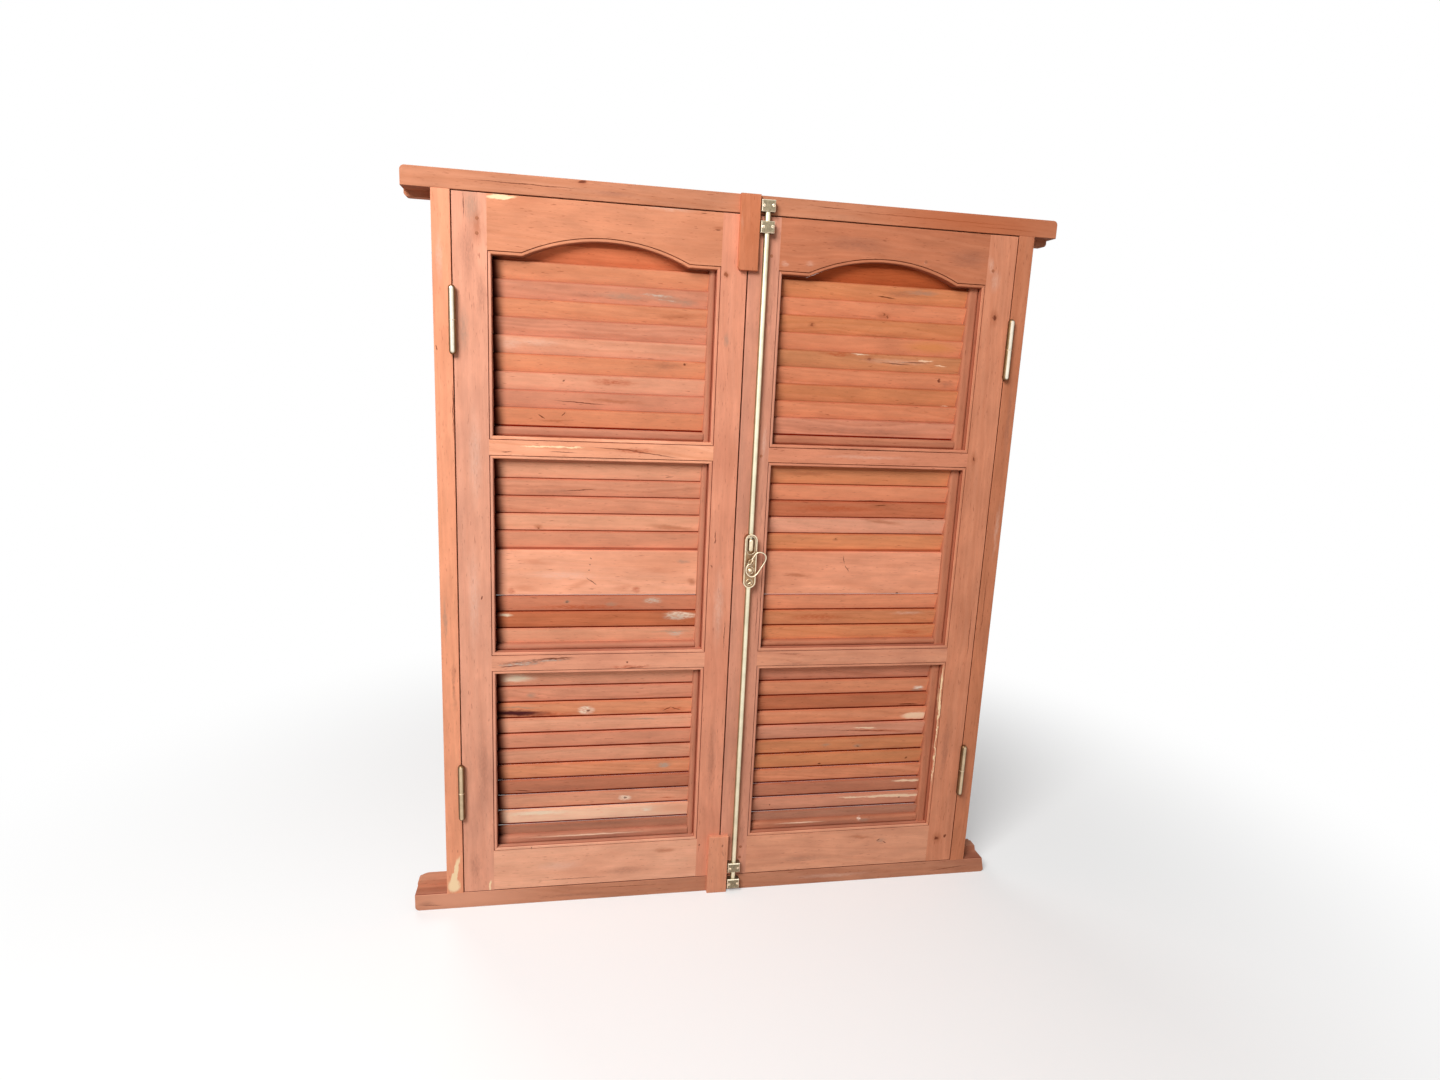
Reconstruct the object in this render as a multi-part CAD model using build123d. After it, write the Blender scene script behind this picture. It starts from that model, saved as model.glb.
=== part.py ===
from build123d import *
import os
from math import sqrt

# Louvred casement window of two leaves: hardwood frame, framed leaves with slats, brass fittings.
# Millimetres. X runs to the right, Z up, Y from the room side towards the outside.
# The pieces are laid out with the room face on Y = 0, and moved to mid depth when they are saved.

# frame
frame_width = 1100.0
frame_height = 1380.0
head_face = 32.0
sill_face = 33.3
jamb_face = 31.2
rebate_depth = 32.6
stop_rise = 11.2
stop_depth = 20.4
rear_step = 4.0
rear_depth = 13.0
frame_depth = rebate_depth + stop_depth + rear_depth
head_horns = (48.0, 44.0)
sill_horns = (61.0, 51.0)
horn_round = 8.0
horn_inner_round = 4.0
stop_end_round = 6.0
sill_end_slope = 9.0
sill_plan_round = 20.0
arris = 0.7
tenon_length = 22.0
tenon_inset = 6.0
tenon_depth = (8.0, 22.0)
fit_gap = 0.2

# leaves
leaf_gap = 2.0
leaf_thickness = 32.0
quirk_width = 1.4
quirk_depth = 2.5
bead_width = 6.7
bead_drop = 0.6
bead_ease = 1.4
hinge_stile_width = 57.2
meeting_quirk_x = 53.2
meeting_x = -4.6
meeting_gap = 2.4
meeting_lap = 10.2
lap_front = 15.0
lap_clearance = 1.6
rail_tenon = 38.0
rail_tenon_thickness = 10.0
mid_rail_shoulder = 5.0
edge_rail_shoulder = 18.0
bottom_rail_width = 85.2
lower_mid_rail = (497.1, 526.9)
upper_mid_rail = (905.6, 932.9)
top_rail_width = 91.1
arch_rise = 32.8
arch_shoulder = 57.2
arch_trim = 4.0

# louvres
strip_width = {"left": 12.5, "right": 20.0}
strip_front = 10.6
strip_back = 31.4
strip_round = 5.5
bottom_strip = {"lower": 16.5, "middle": 11.5, "upper": 16.5}
slat_width = 36.0
slat_thickness = 6.5
slat_tilt = 18.0
slat_round = 1.5
slat_housing = 5.0
slat_front = 14.6
slat_pitch = {"lower": 32.4, "middle": 32.6, "upper": 31.6}
slat_drop = {"lower": 9.6, "middle": 12.4, "upper": 14.1}
slat_seat = 15.0
first_slat_extra = {"lower": 5.0, "middle": 8.0, "upper": 14.0}
board_tuck = 4.0
end_gap = 0.3
board_height = 85.8
board_above_rail = 114.7
board_gap = 3.0
board_front = 15.4
board_thickness = 10.0

# brass hinges
hinge_radius = 6.25
hinge_half = 52.0
hinge_flap = 1.8
hinge_flap_depth = 25.0
hinge_pin_radius = 3.0
hinge_pin_length = 40.0
hinge_pin_room = 2.5
hinge_from_ends = (253.0, 244.0)
hinge_bore_slack = 0.1
knuckle_gap = 0.3

# brass bolt on the right meeting stile
bolt_x = 25.5
rod_radius = 5.25
rod_axis_y = -6.0
rod_clearance = 0.25
guide_size = (25.0, 14.0, 20.5)
guide_bevel = 1.5
guide_from_leaf_ends = (22.2, 20.5)
keeper_from_frame_ends = (21.0, 18.5)
rod_past_keeper = 6.0
rod_in_case = 9.0
case_centre_z = 715.0
case_size = (24.0, 15.0, 106.0)
rim_width = 2.2
rim_height = 2.0
window_size = (14.0, 33.0)
window_above_centre = 31.0
window_depth = 5.0
lug_size = (10.0, 26.0)
knob_radius = 5.5
knob_below_centre = 18.0
rosette_radius = 4.5
rosette_below_centre = 42.0
spindle_radius = 3.0
boss_radius = 5.5
handle_stand = 5.0
handle_wire = 1.7
handle_path = [
    (0.0, 2.0), (5.5, 11.0), (13.5, 18.6), (22.0, 18.0), (28.5, 11.5), (28.6, 4.5),
    (20.5, -11.0), (11.5, -25.0), (4.0, -29.0), (-4.5, -25.5), (-9.0, -17.0), (-7.5, -9.0), (-1.0, -2.5),
]

# blocks planted over the meeting line
block_thickness = 9.0
block_right = 12.0
block_round = 6.0
top_block_left = -24.0
top_block_length = 130.0
bottom_block_left = -29.0
bottom_block_length = 128.0

jamb_inner = frame_width / 2 - jamb_face
stop_inner = jamb_inner - stop_rise
leaf_outer = jamb_inner - leaf_gap
head_under = frame_height - head_face
leaf_bottom = sill_face + leaf_gap
leaf_top = head_under - leaf_gap
hinge_quirk_x = leaf_outer - hinge_stile_width

# quirk line heights of the three openings in a leaf, bottom and top
openings = {
    "lower": (leaf_bottom + bottom_rail_width, lower_mid_rail[0]),
    "middle": (lower_mid_rail[1], upper_mid_rail[0]),
    "upper": (upper_mid_rail[1], leaf_top - top_rail_width),
}
arch_centre_x = (hinge_quirk_x + meeting_quirk_x) / 2
arch_half_chord = (hinge_quirk_x - meeting_quirk_x) / 2 - arch_shoulder
arch_radius = (arch_half_chord ** 2 + arch_rise ** 2) / (2 * arch_rise)
arch_centre_z = openings["upper"][1] + arch_rise - arch_radius
board_low = openings["middle"][0] + board_above_rail
hinge_heights = (hinge_from_ends[0], frame_height - hinge_from_ends[1])
guide_heights = (leaf_bottom + guide_from_leaf_ends[0], leaf_top - guide_from_leaf_ends[1])
keeper_heights = (keeper_from_frame_ends[0], frame_height - keeper_from_frame_ends[1])


def block(x0, x1, y0, y1, z0, z1):
    size = Box(abs(x1 - x0), abs(y1 - y0), abs(z1 - z0))
    return Pos((x0 + x1) / 2, (y0 + y1) / 2, (z0 + z1) / 2) * size


def prism(points, y0, y1):
    # outline in X and Z pushed from y0 back to y1
    outline = Polyline(*[(x, y0, z) for x, z in points], close=True)
    return extrude(make_face(outline), amount=y1 - y0, dir=(0, 1, 0))


def rod(radius, length, x, y, z):
    return Pos(x, y, z) * Cylinder(radius, length)


def mirrored(shape):
    return mirror(shape, about=Plane.YZ)


def eased(piece, direction, wanted):
    # takes the sharp arris off the long front edges that wanted picks
    edges = [e for e in piece.edges().filter_by(direction) if abs(e.center().Y) < 0.01 and wanted(e.center())]
    return chamfer(edges, arris)


def frame_bar(length_left, length_right, face, upper):
    # sill section with a rebate in front of its stop, turned over for the head
    x0 = -frame_width / 2 - length_left
    x1 = frame_width / 2 + length_right
    bar = block(x0, x1, 0, frame_depth, 0, face)
    bar += block(x0, x1, rebate_depth, rebate_depth + stop_depth, 0, face + stop_rise)
    bar += block(x0, x1, rebate_depth + stop_depth, frame_depth, 0, face + stop_rise - rear_step)
    corners = [e for e in bar.edges().filter_by(Axis.Y) if abs(e.center().X) > frame_width / 2 + 10]
    bar = fillet([e for e in corners if e.center().Z < 1], horn_round)
    inner = [e for e in bar.edges().filter_by(Axis.Y) if abs(e.center().X) > frame_width / 2 + 40]
    bar = fillet([e for e in inner if abs(e.center().Z - face) < 0.01], horn_inner_round)
    bar = fillet([e for e in inner if e.center().Z > face + stop_rise - 0.01], stop_end_round)
    bar = eased(bar, Axis.X, lambda c: True)
    for side in (-1, 1):
        near = side * (jamb_inner + tenon_inset - fit_gap)
        far = side * (frame_width / 2 - tenon_inset + fit_gap)
        depth = (tenon_depth[0] - fit_gap, tenon_depth[1] + fit_gap)
        bar -= block(near, far, depth[0], depth[1], face - tenon_length - fit_gap, face + 1)
    if upper:
        bar = mirror(bar, about=Plane.XY)
        bar = Pos(0, 0, frame_height) * bar
    return bar


def shaped_sill(bar):
    # the right end is cut off at a slope, and the left end rounded in plan at its rear corner
    right = frame_width / 2 + sill_horns[1]
    top = sill_face + stop_rise
    slope = [(right, 0), (right - sill_end_slope, top), (right + 1, top + 1), (right + 1, 0)]
    bar -= prism(slope, -1, frame_depth + 1)
    centre_x = -frame_width / 2 - sill_horns[0] + sill_plan_round
    centre_y = frame_depth - sill_plan_round
    corner = block(centre_x - sill_plan_round - 1, centre_x, centre_y, frame_depth + 1, -1, top + 1)
    return bar - (corner - rod(sill_plan_round, 4 * top, centre_x, centre_y, 0))


def left_jamb_piece():
    outer = -frame_width / 2
    jamb = block(outer, -jamb_inner, 0, rebate_depth, sill_face, head_under)
    jamb = eased(jamb, Axis.Z, lambda c: True)
    low = sill_face + stop_rise
    high = head_under - stop_rise
    back = rebate_depth + stop_depth
    jamb += block(outer, -stop_inner, rebate_depth, back, low, high)
    jamb += block(outer, -stop_inner - rear_step, back, frame_depth, low - rear_step, high + rear_step)
    for z0, z1 in ((sill_face - tenon_length, sill_face), (head_under, head_under + tenon_length)):
        jamb += block(outer + tenon_inset, -jamb_inner - tenon_inset, *tenon_depth, z0, z1)
    for centre in hinge_heights:
        jamb -= flap_pocket(-jamb_inner - hinge_flap - fit_gap, -jamb_inner + 1, centre)
    return jamb


def flap_pocket(x0, x1, centre):
    reach = hinge_half - hinge_radius + fit_gap
    return block(x0, x1, -1, hinge_flap_depth + fit_gap, centre - reach, centre + reach)


def opening_prism(name, inset, y0, y1):
    # one opening of the left leaf, drawn in from its quirk line
    low, high = openings[name]
    x0 = -hinge_quirk_x + inset
    x1 = -meeting_quirk_x - inset
    shape = block(x0, x1, y0, y1, low + inset, high - inset)
    if name == "upper":
        radius = arch_radius - inset
        drum = Pos(-arch_centre_x, (y0 + y1) / 2, arch_centre_z) * Rot(90, 0, 0) * Cylinder(radius, y1 - y0)
        cap = block(x0, x1, y0, y1, high - inset - 1, high + arch_rise)
        shape += drum & cap
    return shape


def opening_bevel(name):
    # slopes in from the sunk bead to the reveal, all round one opening
    top = opening_prism(name, bead_width - bead_ease, bead_drop - 1, bead_drop)
    face = top.faces().sort_by(Axis.Y)[-1]
    return extrude(face, amount=2 * bead_ease, dir=(0, 1, 0), taper=45)


def work_moulding(piece):
    # sinks the bead just below the face, eases its inner edge and cuts the quirk beside it
    for name in openings:
        piece -= opening_prism(name, 0, -1, bead_drop)
        groove = opening_prism(name, 0, -1, quirk_depth)
        piece -= groove - opening_prism(name, quirk_width, -2, quirk_depth + 1)
        piece -= opening_bevel(name)
    return piece


def stile_outline(outer_x, quirk_x, toward):
    # toward is the side the openings lie on
    edge = quirk_x + toward * bead_width
    points = [(outer_x, leaf_bottom), (quirk_x, leaf_bottom)]
    for name in ("lower", "middle", "upper"):
        low, high = openings[name]
        points.append((quirk_x, low))
        points.append((edge, low + bead_width))
        points.append((edge, high - bead_width))
        points.append((quirk_x, high))
    points += [(quirk_x, leaf_top), (outer_x, leaf_top)]
    return points


def rail_block(low, high, bead_below, bead_above):
    x0 = -hinge_quirk_x
    x1 = -meeting_quirk_x
    points = [(x0, low)]
    if bead_below:
        points += [(x0 + bead_width, low - bead_width), (x1 - bead_width, low - bead_width)]
    points += [(x1, low), (x1, high)]
    if bead_above:
        points += [(x1 - bead_width, high + bead_width), (x0 + bead_width, high + bead_width)]
    points.append((x0, high))
    return prism(points, 0, leaf_thickness)


def rail_levels():
    return {
        "bottom_rail": (leaf_bottom, openings["lower"][0]),
        "lower_mid_rail": lower_mid_rail,
        "upper_mid_rail": upper_mid_rail,
        "top_rail": (openings["upper"][1], leaf_top),
    }


def tenon_span(name):
    # height of the tenon on each rail, set in from the rail's edges
    low, high = rail_levels()[name]
    inset = mid_rail_shoulder if "mid" in name else edge_rail_shoulder
    return low + inset, high - inset


def tenon(name, x0, x1, slack):
    low, high = tenon_span(name)
    mid = leaf_thickness / 2
    half = rail_tenon_thickness / 2 + slack
    return block(x0, x1, mid - half, mid + half, low - slack, high + slack)


def left_rails():
    levels = rail_levels()
    rails = {}
    for name, (low, high) in levels.items():
        if name == "top_rail":
            x0 = -hinge_quirk_x
            x1 = -meeting_quirk_x
            drop = bead_width + arch_trim
            points = [(x0, high), (x0, low), (x0 + drop, low - drop)]
            points += [(x1 - drop, low - drop), (x1, low), (x1, high)]
            rail = prism(points, 0, leaf_thickness)
            rail -= opening_prism("upper", bead_width, -1, leaf_thickness + 1)
        else:
            rail = rail_block(low, high, name != "bottom_rail", True)
        if "mid" not in name:
            outer_edge = leaf_top if name == "top_rail" else leaf_bottom
            rail = eased(rail, Axis.X, lambda c: abs(c.Z - outer_edge) < 0.01)
        rail = work_moulding(rail)
        left_end = -hinge_quirk_x - rail_tenon
        right_end = -meeting_quirk_x + rail_tenon
        rail += tenon(name, left_end, -hinge_quirk_x, 0)
        rail += tenon(name, -meeting_quirk_x, right_end, 0)
        rails[name] = rail
    return rails


def left_hinge_stile():
    stile = prism(stile_outline(-leaf_outer, -hinge_quirk_x, 1), 0, leaf_thickness)
    stile = eased(stile, Axis.Z, lambda c: abs(c.X + leaf_outer) < 0.01)
    stile = work_moulding(stile)
    for name in rail_levels():
        stile -= tenon(name, -hinge_quirk_x - rail_tenon - 1, -hinge_quirk_x + 1, fit_gap)
    for centre in hinge_heights:
        stile -= flap_pocket(-leaf_outer - 1, -leaf_outer + hinge_flap + fit_gap, centre)
    return stile


def meeting_stile(outer_x):
    stile = prism(stile_outline(outer_x, -meeting_quirk_x, -1), 0, leaf_thickness)
    stile = work_moulding(stile)
    for name in rail_levels():
        stile -= tenon(name, -meeting_quirk_x - 1, -meeting_quirk_x + rail_tenon + 1, fit_gap)
    return stile


def left_meeting_stile():
    # the lap at the back passes behind the right leaf
    front = meeting_x - meeting_gap / 2
    back = front + meeting_lap
    stile = meeting_stile(back)
    stile -= block(front, back + 1, -1, lap_front + lap_clearance, leaf_bottom - 1, leaf_top + 1)
    return eased(stile, Axis.Z, lambda c: abs(c.X - front) < 0.01)


def right_meeting_stile():
    # made as a left hand piece and mirrored, so its front edge is at minus the real position
    front = -(meeting_x + meeting_gap / 2)
    back = front - meeting_lap
    stile = meeting_stile(front)
    stile = eased(stile, Axis.Z, lambda c: abs(c.X - front) < 0.01)
    stile -= block(back, front + 1, lap_front, leaf_thickness + 1, leaf_bottom - 1, leaf_top + 1)
    return mirrored(stile)


def panel_span(leaf):
    # clear width between the reveals of a leaf's openings
    outer = hinge_quirk_x - bead_width
    inner = meeting_quirk_x + bead_width
    return (-outer, -inner) if leaf == "left" else (inner, outer)


def panel_heights(name):
    low, high = openings[name]
    return low + bead_width, high - bead_width


def slat_blank(x0, x1, seat, slack):
    # a seat is the centre in Y and Z, and how much wider the slat is above and below
    centre_y, centre_z, above, below = seat
    tall = slat_width + above + below + 2 * slack
    blank = Box(x1 - x0, slat_thickness + 2 * slack, tall)
    if slack == 0:
        blank = fillet(blank.edges().filter_by(Axis.X), slat_round)
    blank = Pos(0, 0, (above - below) / 2) * blank
    return Pos((x0 + x1) / 2, centre_y, centre_z) * Rot(slat_tilt, 0, 0) * blank


def slat_offsets():
    # from a slat's centre to its front upper edge
    corner = Rot(slat_tilt, 0, 0) * Pos(0, -slat_thickness / 2, slat_width / 2)
    return corner.position.Y, corner.position.Z


def slat_runs(name):
    # front upper edge of the first slat in each run, and the top of what lies below the run
    low, high = openings[name]
    floor = low + bead_width + bottom_strip[name]
    if name == "middle":
        return [(high - slat_drop[name], board_low + board_height), (board_low - board_gap, floor)]
    top = high + arch_rise if name == "upper" else high
    return [(top - slat_drop[name], floor)]


def slat_seats(name):
    # as many slats in each run as leave the last one its seat: the first of an opening closes
    # up to the rail, and the one over the middle board reaches down behind it
    to_front, to_top = slat_offsets()
    pitch = slat_pitch[name]
    seats = []
    for first, floor in slat_runs(name):
        count = 1 + int((first - floor - slat_seat) / pitch)
        for row in range(count):
            above = 0 if seats else first_slat_extra[name]
            below = board_tuck if row == count - 1 and floor == board_low + board_height else 0
            seats.append((slat_front - to_front, first - to_top - row * pitch, above, below))
    return seats


def housed_stile(stile, leaf):
    # grooves at the slats' slope in the stile on the left of each opening
    edge = panel_span(leaf)[0]
    for name in openings:
        floor, ceiling = panel_heights(name)
        floor += bottom_strip[name]
        zone = block(edge - slat_housing, edge + 1, 0, leaf_thickness + 1, floor, ceiling)
        for seat in slat_seats(name):
            stile -= slat_blank(edge - slat_housing, edge + 1, seat, fit_gap) & zone
    return stile


def round_front(strip, axis, width):
    # the round is limited to just under half the strip's width
    edges = strip.edges().filter_by(axis)
    front = [e for e in edges if e.center().Y < strip_front + 0.1]
    return fillet(front, min(strip_round, 0.47 * width))


def panel_strips(leaf, name):
    # a grooved strip takes the slats' right ends, and a plain one closes the bottom
    left, right = panel_span(leaf)
    inner = right - strip_width[leaf]
    floor, ceiling = panel_heights(name)
    side = round_front(block(inner, right, strip_front, strip_back, floor, ceiling), Axis.Z, right - inner)
    for seat in slat_seats(name):
        side -= slat_blank(inner - 1, inner + slat_housing, seat, fit_gap)
    bottom = block(left + end_gap, inner - end_gap, strip_front, strip_back, floor, floor + bottom_strip[name])
    return [side, round_front(bottom, Axis.X, bottom_strip[name])]


def panel_slats(leaf, name):
    left, right = panel_span(leaf)
    x0 = left - slat_housing + fit_gap
    x1 = right - strip_width[leaf] + slat_housing - fit_gap
    floor, ceiling = panel_heights(name)
    floor += bottom_strip[name] + end_gap
    clip = block(x0, x1, 0, leaf_thickness, floor, ceiling - end_gap)
    if name == "upper":
        # the first slat of the upper opening is cut to the arch
        arch = opening_prism(name, bead_width + end_gap, 0, leaf_thickness)
        above = block(x0, x1, 0, leaf_thickness, floor, ceiling + arch_rise)
        clip += above & (arch if leaf == "left" else mirrored(arch))
    return [slat_blank(x0, x1, seat, 0) & clip for seat in slat_seats(name)]


def panel_board(leaf):
    left, right = panel_span(leaf)
    span = (left + end_gap, right - strip_width[leaf] - end_gap)
    depth = (board_front, board_front + board_thickness)
    board = block(*span, *depth, board_low, board_low + board_height)
    front = board.faces().sort_by(Axis.Y)[0]
    return chamfer(front.edges(), arris)


def hinge_pair(centre):
    # left hand hinge: lower knuckle on the jamb carries the pin, upper knuckle lifts off it
    axis_x = -(jamb_inner - leaf_gap / 2)
    axis_y = -hinge_radius - 0.15
    barrel = hinge_half - knuckle_gap
    bore_length = hinge_pin_length + 2 * hinge_pin_room
    pin_bore = rod(hinge_pin_radius + hinge_bore_slack, bore_length, axis_x, axis_y, centre)
    dome = Pos(axis_x, axis_y, 0) * Sphere(hinge_radius)
    lower = rod(hinge_radius, barrel, axis_x, axis_y, centre - knuckle_gap - barrel / 2)
    lower += Pos(0, 0, centre - hinge_half) * dome
    lower += rod(hinge_pin_radius, hinge_pin_length, axis_x, axis_y, centre)
    upper = rod(hinge_radius, barrel, axis_x, axis_y, centre + knuckle_gap + barrel / 2)
    upper += Pos(0, 0, centre + hinge_half) * dome
    upper -= pin_bore
    reach = hinge_half - hinge_radius
    jamb_x = (-jamb_inner - hinge_flap, -jamb_inner)
    leaf_x = (-leaf_outer, -leaf_outer + hinge_flap)
    lower += block(*jamb_x, 0.3, hinge_flap_depth, centre - reach, centre + reach)
    lower += block(*jamb_x, axis_y, 0.4, centre - reach, centre - knuckle_gap)
    upper += block(*leaf_x, 0.3, hinge_flap_depth, centre - reach, centre + reach)
    web = block(*leaf_x, axis_y, 0.4, centre + knuckle_gap, centre + reach)
    upper += web - pin_bore
    return lower, upper


def bolt_box(centre_z):
    width, depth, height = guide_size
    body = Pos(bolt_x, -depth / 2, centre_z) * Box(width, depth, height)
    front = [e for e in body.edges() if e.center().Y < -depth + 0.1]
    body = chamfer(front, guide_bevel)
    return body - rod(rod_radius + rod_clearance, height + 2, bolt_x, rod_axis_y, centre_z)


def stadium(width, height, y0, y1, centre_z):
    # block with half round ends, standing on the bolt's line
    straight = height - width
    mid_y = (y0 + y1) / 2
    middle = Pos(bolt_x, mid_y, centre_z) * Box(width, abs(y1 - y0), straight)
    for side in (-1, 1):
        end = Pos(bolt_x, mid_y, centre_z + side * straight / 2) * Rot(90, 0, 0)
        middle += end * Cylinder(width / 2, abs(y1 - y0))
    return middle


def bolt_case():
    # long plate case with a raised rim, a window over the rod's end piece, a knob and a low rosette
    width, depth, height = case_size
    plate = rim_height - depth
    body = stadium(width, height, -depth, 0, case_centre_z)
    body -= stadium(width - 2 * rim_width, height - 2 * rim_width, -depth - 1, plate, case_centre_z)
    window_z = case_centre_z + window_above_centre
    body -= stadium(*window_size, plate - 1, plate + window_depth, window_z)
    lug = stadium(*lug_size, -depth, plate + window_depth + 1, window_z)
    front = [e for e in lug.edges() if e.center().Y < 0.1 - depth]
    body += fillet(front, 0.4 * lug_size[0])
    body += Pos(bolt_x, plate, case_centre_z - knob_below_centre) * Sphere(knob_radius)
    rosette = Cylinder(rosette_radius, rim_height)
    body += Pos(bolt_x, plate, case_centre_z - rosette_below_centre) * Rot(90, 0, 0) * rosette
    for side in (-1, 1):
        end = case_centre_z + side * (height / 2 - rod_in_case)
        body -= rod(rod_radius + rod_clearance, 2 * (rod_in_case + 1), bolt_x, rod_axis_y, end)
    bore = Cylinder(spindle_radius + rod_clearance, depth + 1)
    return body - Pos(bolt_x, -depth, case_centre_z) * Rot(90, 0, 0) * bore


def bolt_handle():
    # spindle and boss with a bent wire loop
    depth = case_size[1]
    handle_y = -depth - handle_stand
    spindle = Pos(bolt_x, -depth - 1, case_centre_z) * Rot(90, 0, 0) * Cylinder(spindle_radius, 12)
    boss = Pos(bolt_x, handle_y + 1, case_centre_z) * Rot(90, 0, 0) * Cylinder(boss_radius, handle_stand + 1)
    path = Spline(*[(bolt_x + x, handle_y, case_centre_z + z) for x, z in handle_path])
    section = Plane(origin=path @ 0, z_dir=path % 0) * Circle(handle_wire)
    wire = sweep(section, path=path)
    return spindle + boss + wire


def top_block_piece():
    low = frame_height - top_block_length
    body = block(top_block_left, block_right, -block_thickness, 0, low, frame_height)
    lower = [e for e in body.edges().filter_by(Axis.Y) if e.center().Z < low + 1]
    body = fillet([e for e in lower if e.center().X < top_block_left + 1], block_round)
    return chamfer(body.faces().sort_by(Axis.Y)[0].edges(), arris)


def bottom_block_piece():
    body = block(bottom_block_left, block_right, -block_thickness, 0, 0, bottom_block_length)
    return chamfer(body.faces().sort_by(Axis.Y)[0].edges(), arris)


def save(name, solids):
    if not isinstance(solids, list):
        solids = [solids]
    parts = []
    for item in solids:
        parts += list(item.solids())
    shape = Compound(children=[Pos(0, -frame_depth / 2, 0) * part for part in parts])
    export_step(shape, f"parts/{name}.step")


os.makedirs("parts", exist_ok=True)
save("sill", shaped_sill(frame_bar(*sill_horns, sill_face, False)))
save("head", frame_bar(*head_horns, head_face, True))
left_jamb = left_jamb_piece()
save("left_jamb", left_jamb)
save("right_jamb", mirrored(left_jamb))

hinge_side = left_hinge_stile()
save("left_hinge_stile", housed_stile(hinge_side, "left"))
save("right_hinge_stile", mirrored(hinge_side))
save("left_meeting_stile", left_meeting_stile())
save("right_meeting_stile", housed_stile(right_meeting_stile(), "right"))
for rail_name, rail_piece in left_rails().items():
    save(f"left_{rail_name}", rail_piece)
    save(f"right_{rail_name}", mirrored(rail_piece))

for leaf_side in ("left", "right"):
    strips = []
    for opening_name in openings:
        strips += panel_strips(leaf_side, opening_name)
        save(f"{leaf_side}_{opening_name}_slats", panel_slats(leaf_side, opening_name))
    save(f"{leaf_side}_louvre_strips", strips)
    save(f"{leaf_side}_middle_board", panel_board(leaf_side))

for level, height in zip(("lower", "upper"), hinge_heights):
    on_jamb, on_leaf = hinge_pair(height)
    save(f"left_{level}_hinge_jamb_half", on_jamb)
    save(f"left_{level}_hinge_leaf_half", on_leaf)
    save(f"right_{level}_hinge_jamb_half", mirrored(on_jamb))
    save(f"right_{level}_hinge_leaf_half", mirrored(on_leaf))

save("rod_guides", [bolt_box(height) for height in guide_heights])
save("rod_keepers", [bolt_box(height) for height in keeper_heights])
half_case = case_size[2] / 2 - rod_in_case
rod_spans = {
    "lower_rod": (keeper_heights[0] - rod_past_keeper, case_centre_z - half_case),
    "upper_rod": (case_centre_z + half_case, keeper_heights[1] + rod_past_keeper),
}
for rod_name, (low_end, high_end) in rod_spans.items():
    save(rod_name, rod(rod_radius, high_end - low_end, bolt_x, rod_axis_y, (low_end + high_end) / 2))
save("bolt_case", bolt_case())
save("bolt_handle", bolt_handle())
save("top_meeting_block", top_block_piece())
save("bottom_meeting_block", bottom_block_piece())
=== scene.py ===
import math

import bpy
import numpy as np
from mathutils import Matrix


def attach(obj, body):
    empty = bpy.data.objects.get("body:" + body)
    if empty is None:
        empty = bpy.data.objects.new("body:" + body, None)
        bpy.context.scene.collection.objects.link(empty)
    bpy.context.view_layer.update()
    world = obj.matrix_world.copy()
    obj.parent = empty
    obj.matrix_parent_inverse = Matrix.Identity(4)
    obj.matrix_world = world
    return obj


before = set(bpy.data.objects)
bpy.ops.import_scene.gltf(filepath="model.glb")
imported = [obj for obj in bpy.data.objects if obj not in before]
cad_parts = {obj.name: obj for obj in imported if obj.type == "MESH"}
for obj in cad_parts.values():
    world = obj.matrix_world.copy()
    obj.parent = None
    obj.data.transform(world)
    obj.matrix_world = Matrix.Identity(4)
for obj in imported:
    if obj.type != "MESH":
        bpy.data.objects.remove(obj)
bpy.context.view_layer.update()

# The outer frame: a sill, a head and two jambs of red tropical hardwood. The jambs stand between
# sill and head, held by mortise and tenon. The boards are planed and sanded but not oiled, so they
# look matt and a little dusty.


def linear(hex_code):
    """Turn an sRGB hex colour into the linear colour that a shader takes."""
    channels = [int(hex_code[i:i + 2], 16) / 255 for i in (1, 3, 5)]
    return (*[c / 12.92 if c <= 0.04045 else ((c + 0.055) / 1.055) ** 2.4 for c in channels], 1.0)


def add_node(tree, kind, settings=None, inputs=None):
    """Add one node, set its own settings, then link or set each of the inputs given.

    An input is named, or numbered in the node's own order: a MapRange maps its ends 1 and 2 to
    3 and 4, and a Mix has its factor at 0 and its colours at 6 and 7. A node is its first output.
    """
    node = tree.nodes.new("ShaderNode" + kind)
    for key, value in (settings or {}).items():
        setattr(node, key, value)
    for key, value in (inputs or {}).items():
        value = value.outputs[0] if isinstance(value, bpy.types.Node) else value
        if isinstance(value, bpy.types.NodeSocket):
            tree.links.new(value, node.inputs[key])
        else:
            node.inputs[key].default_value = value
    return node


def new_material(name):
    """An empty node material, and its tree."""
    material = bpy.data.materials.new(name)
    material.use_nodes = True
    material.node_tree.nodes.clear()
    return material, material.node_tree


# settings of nodes that ease from one end to the other, and that mix or multiply two colours
eased = {"interpolation_type": "SMOOTHSTEP"}
mixed, multiplied = {"data_type": "RGBA"}, {"data_type": "RGBA", "blend_type": "MULTIPLY"}


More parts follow.
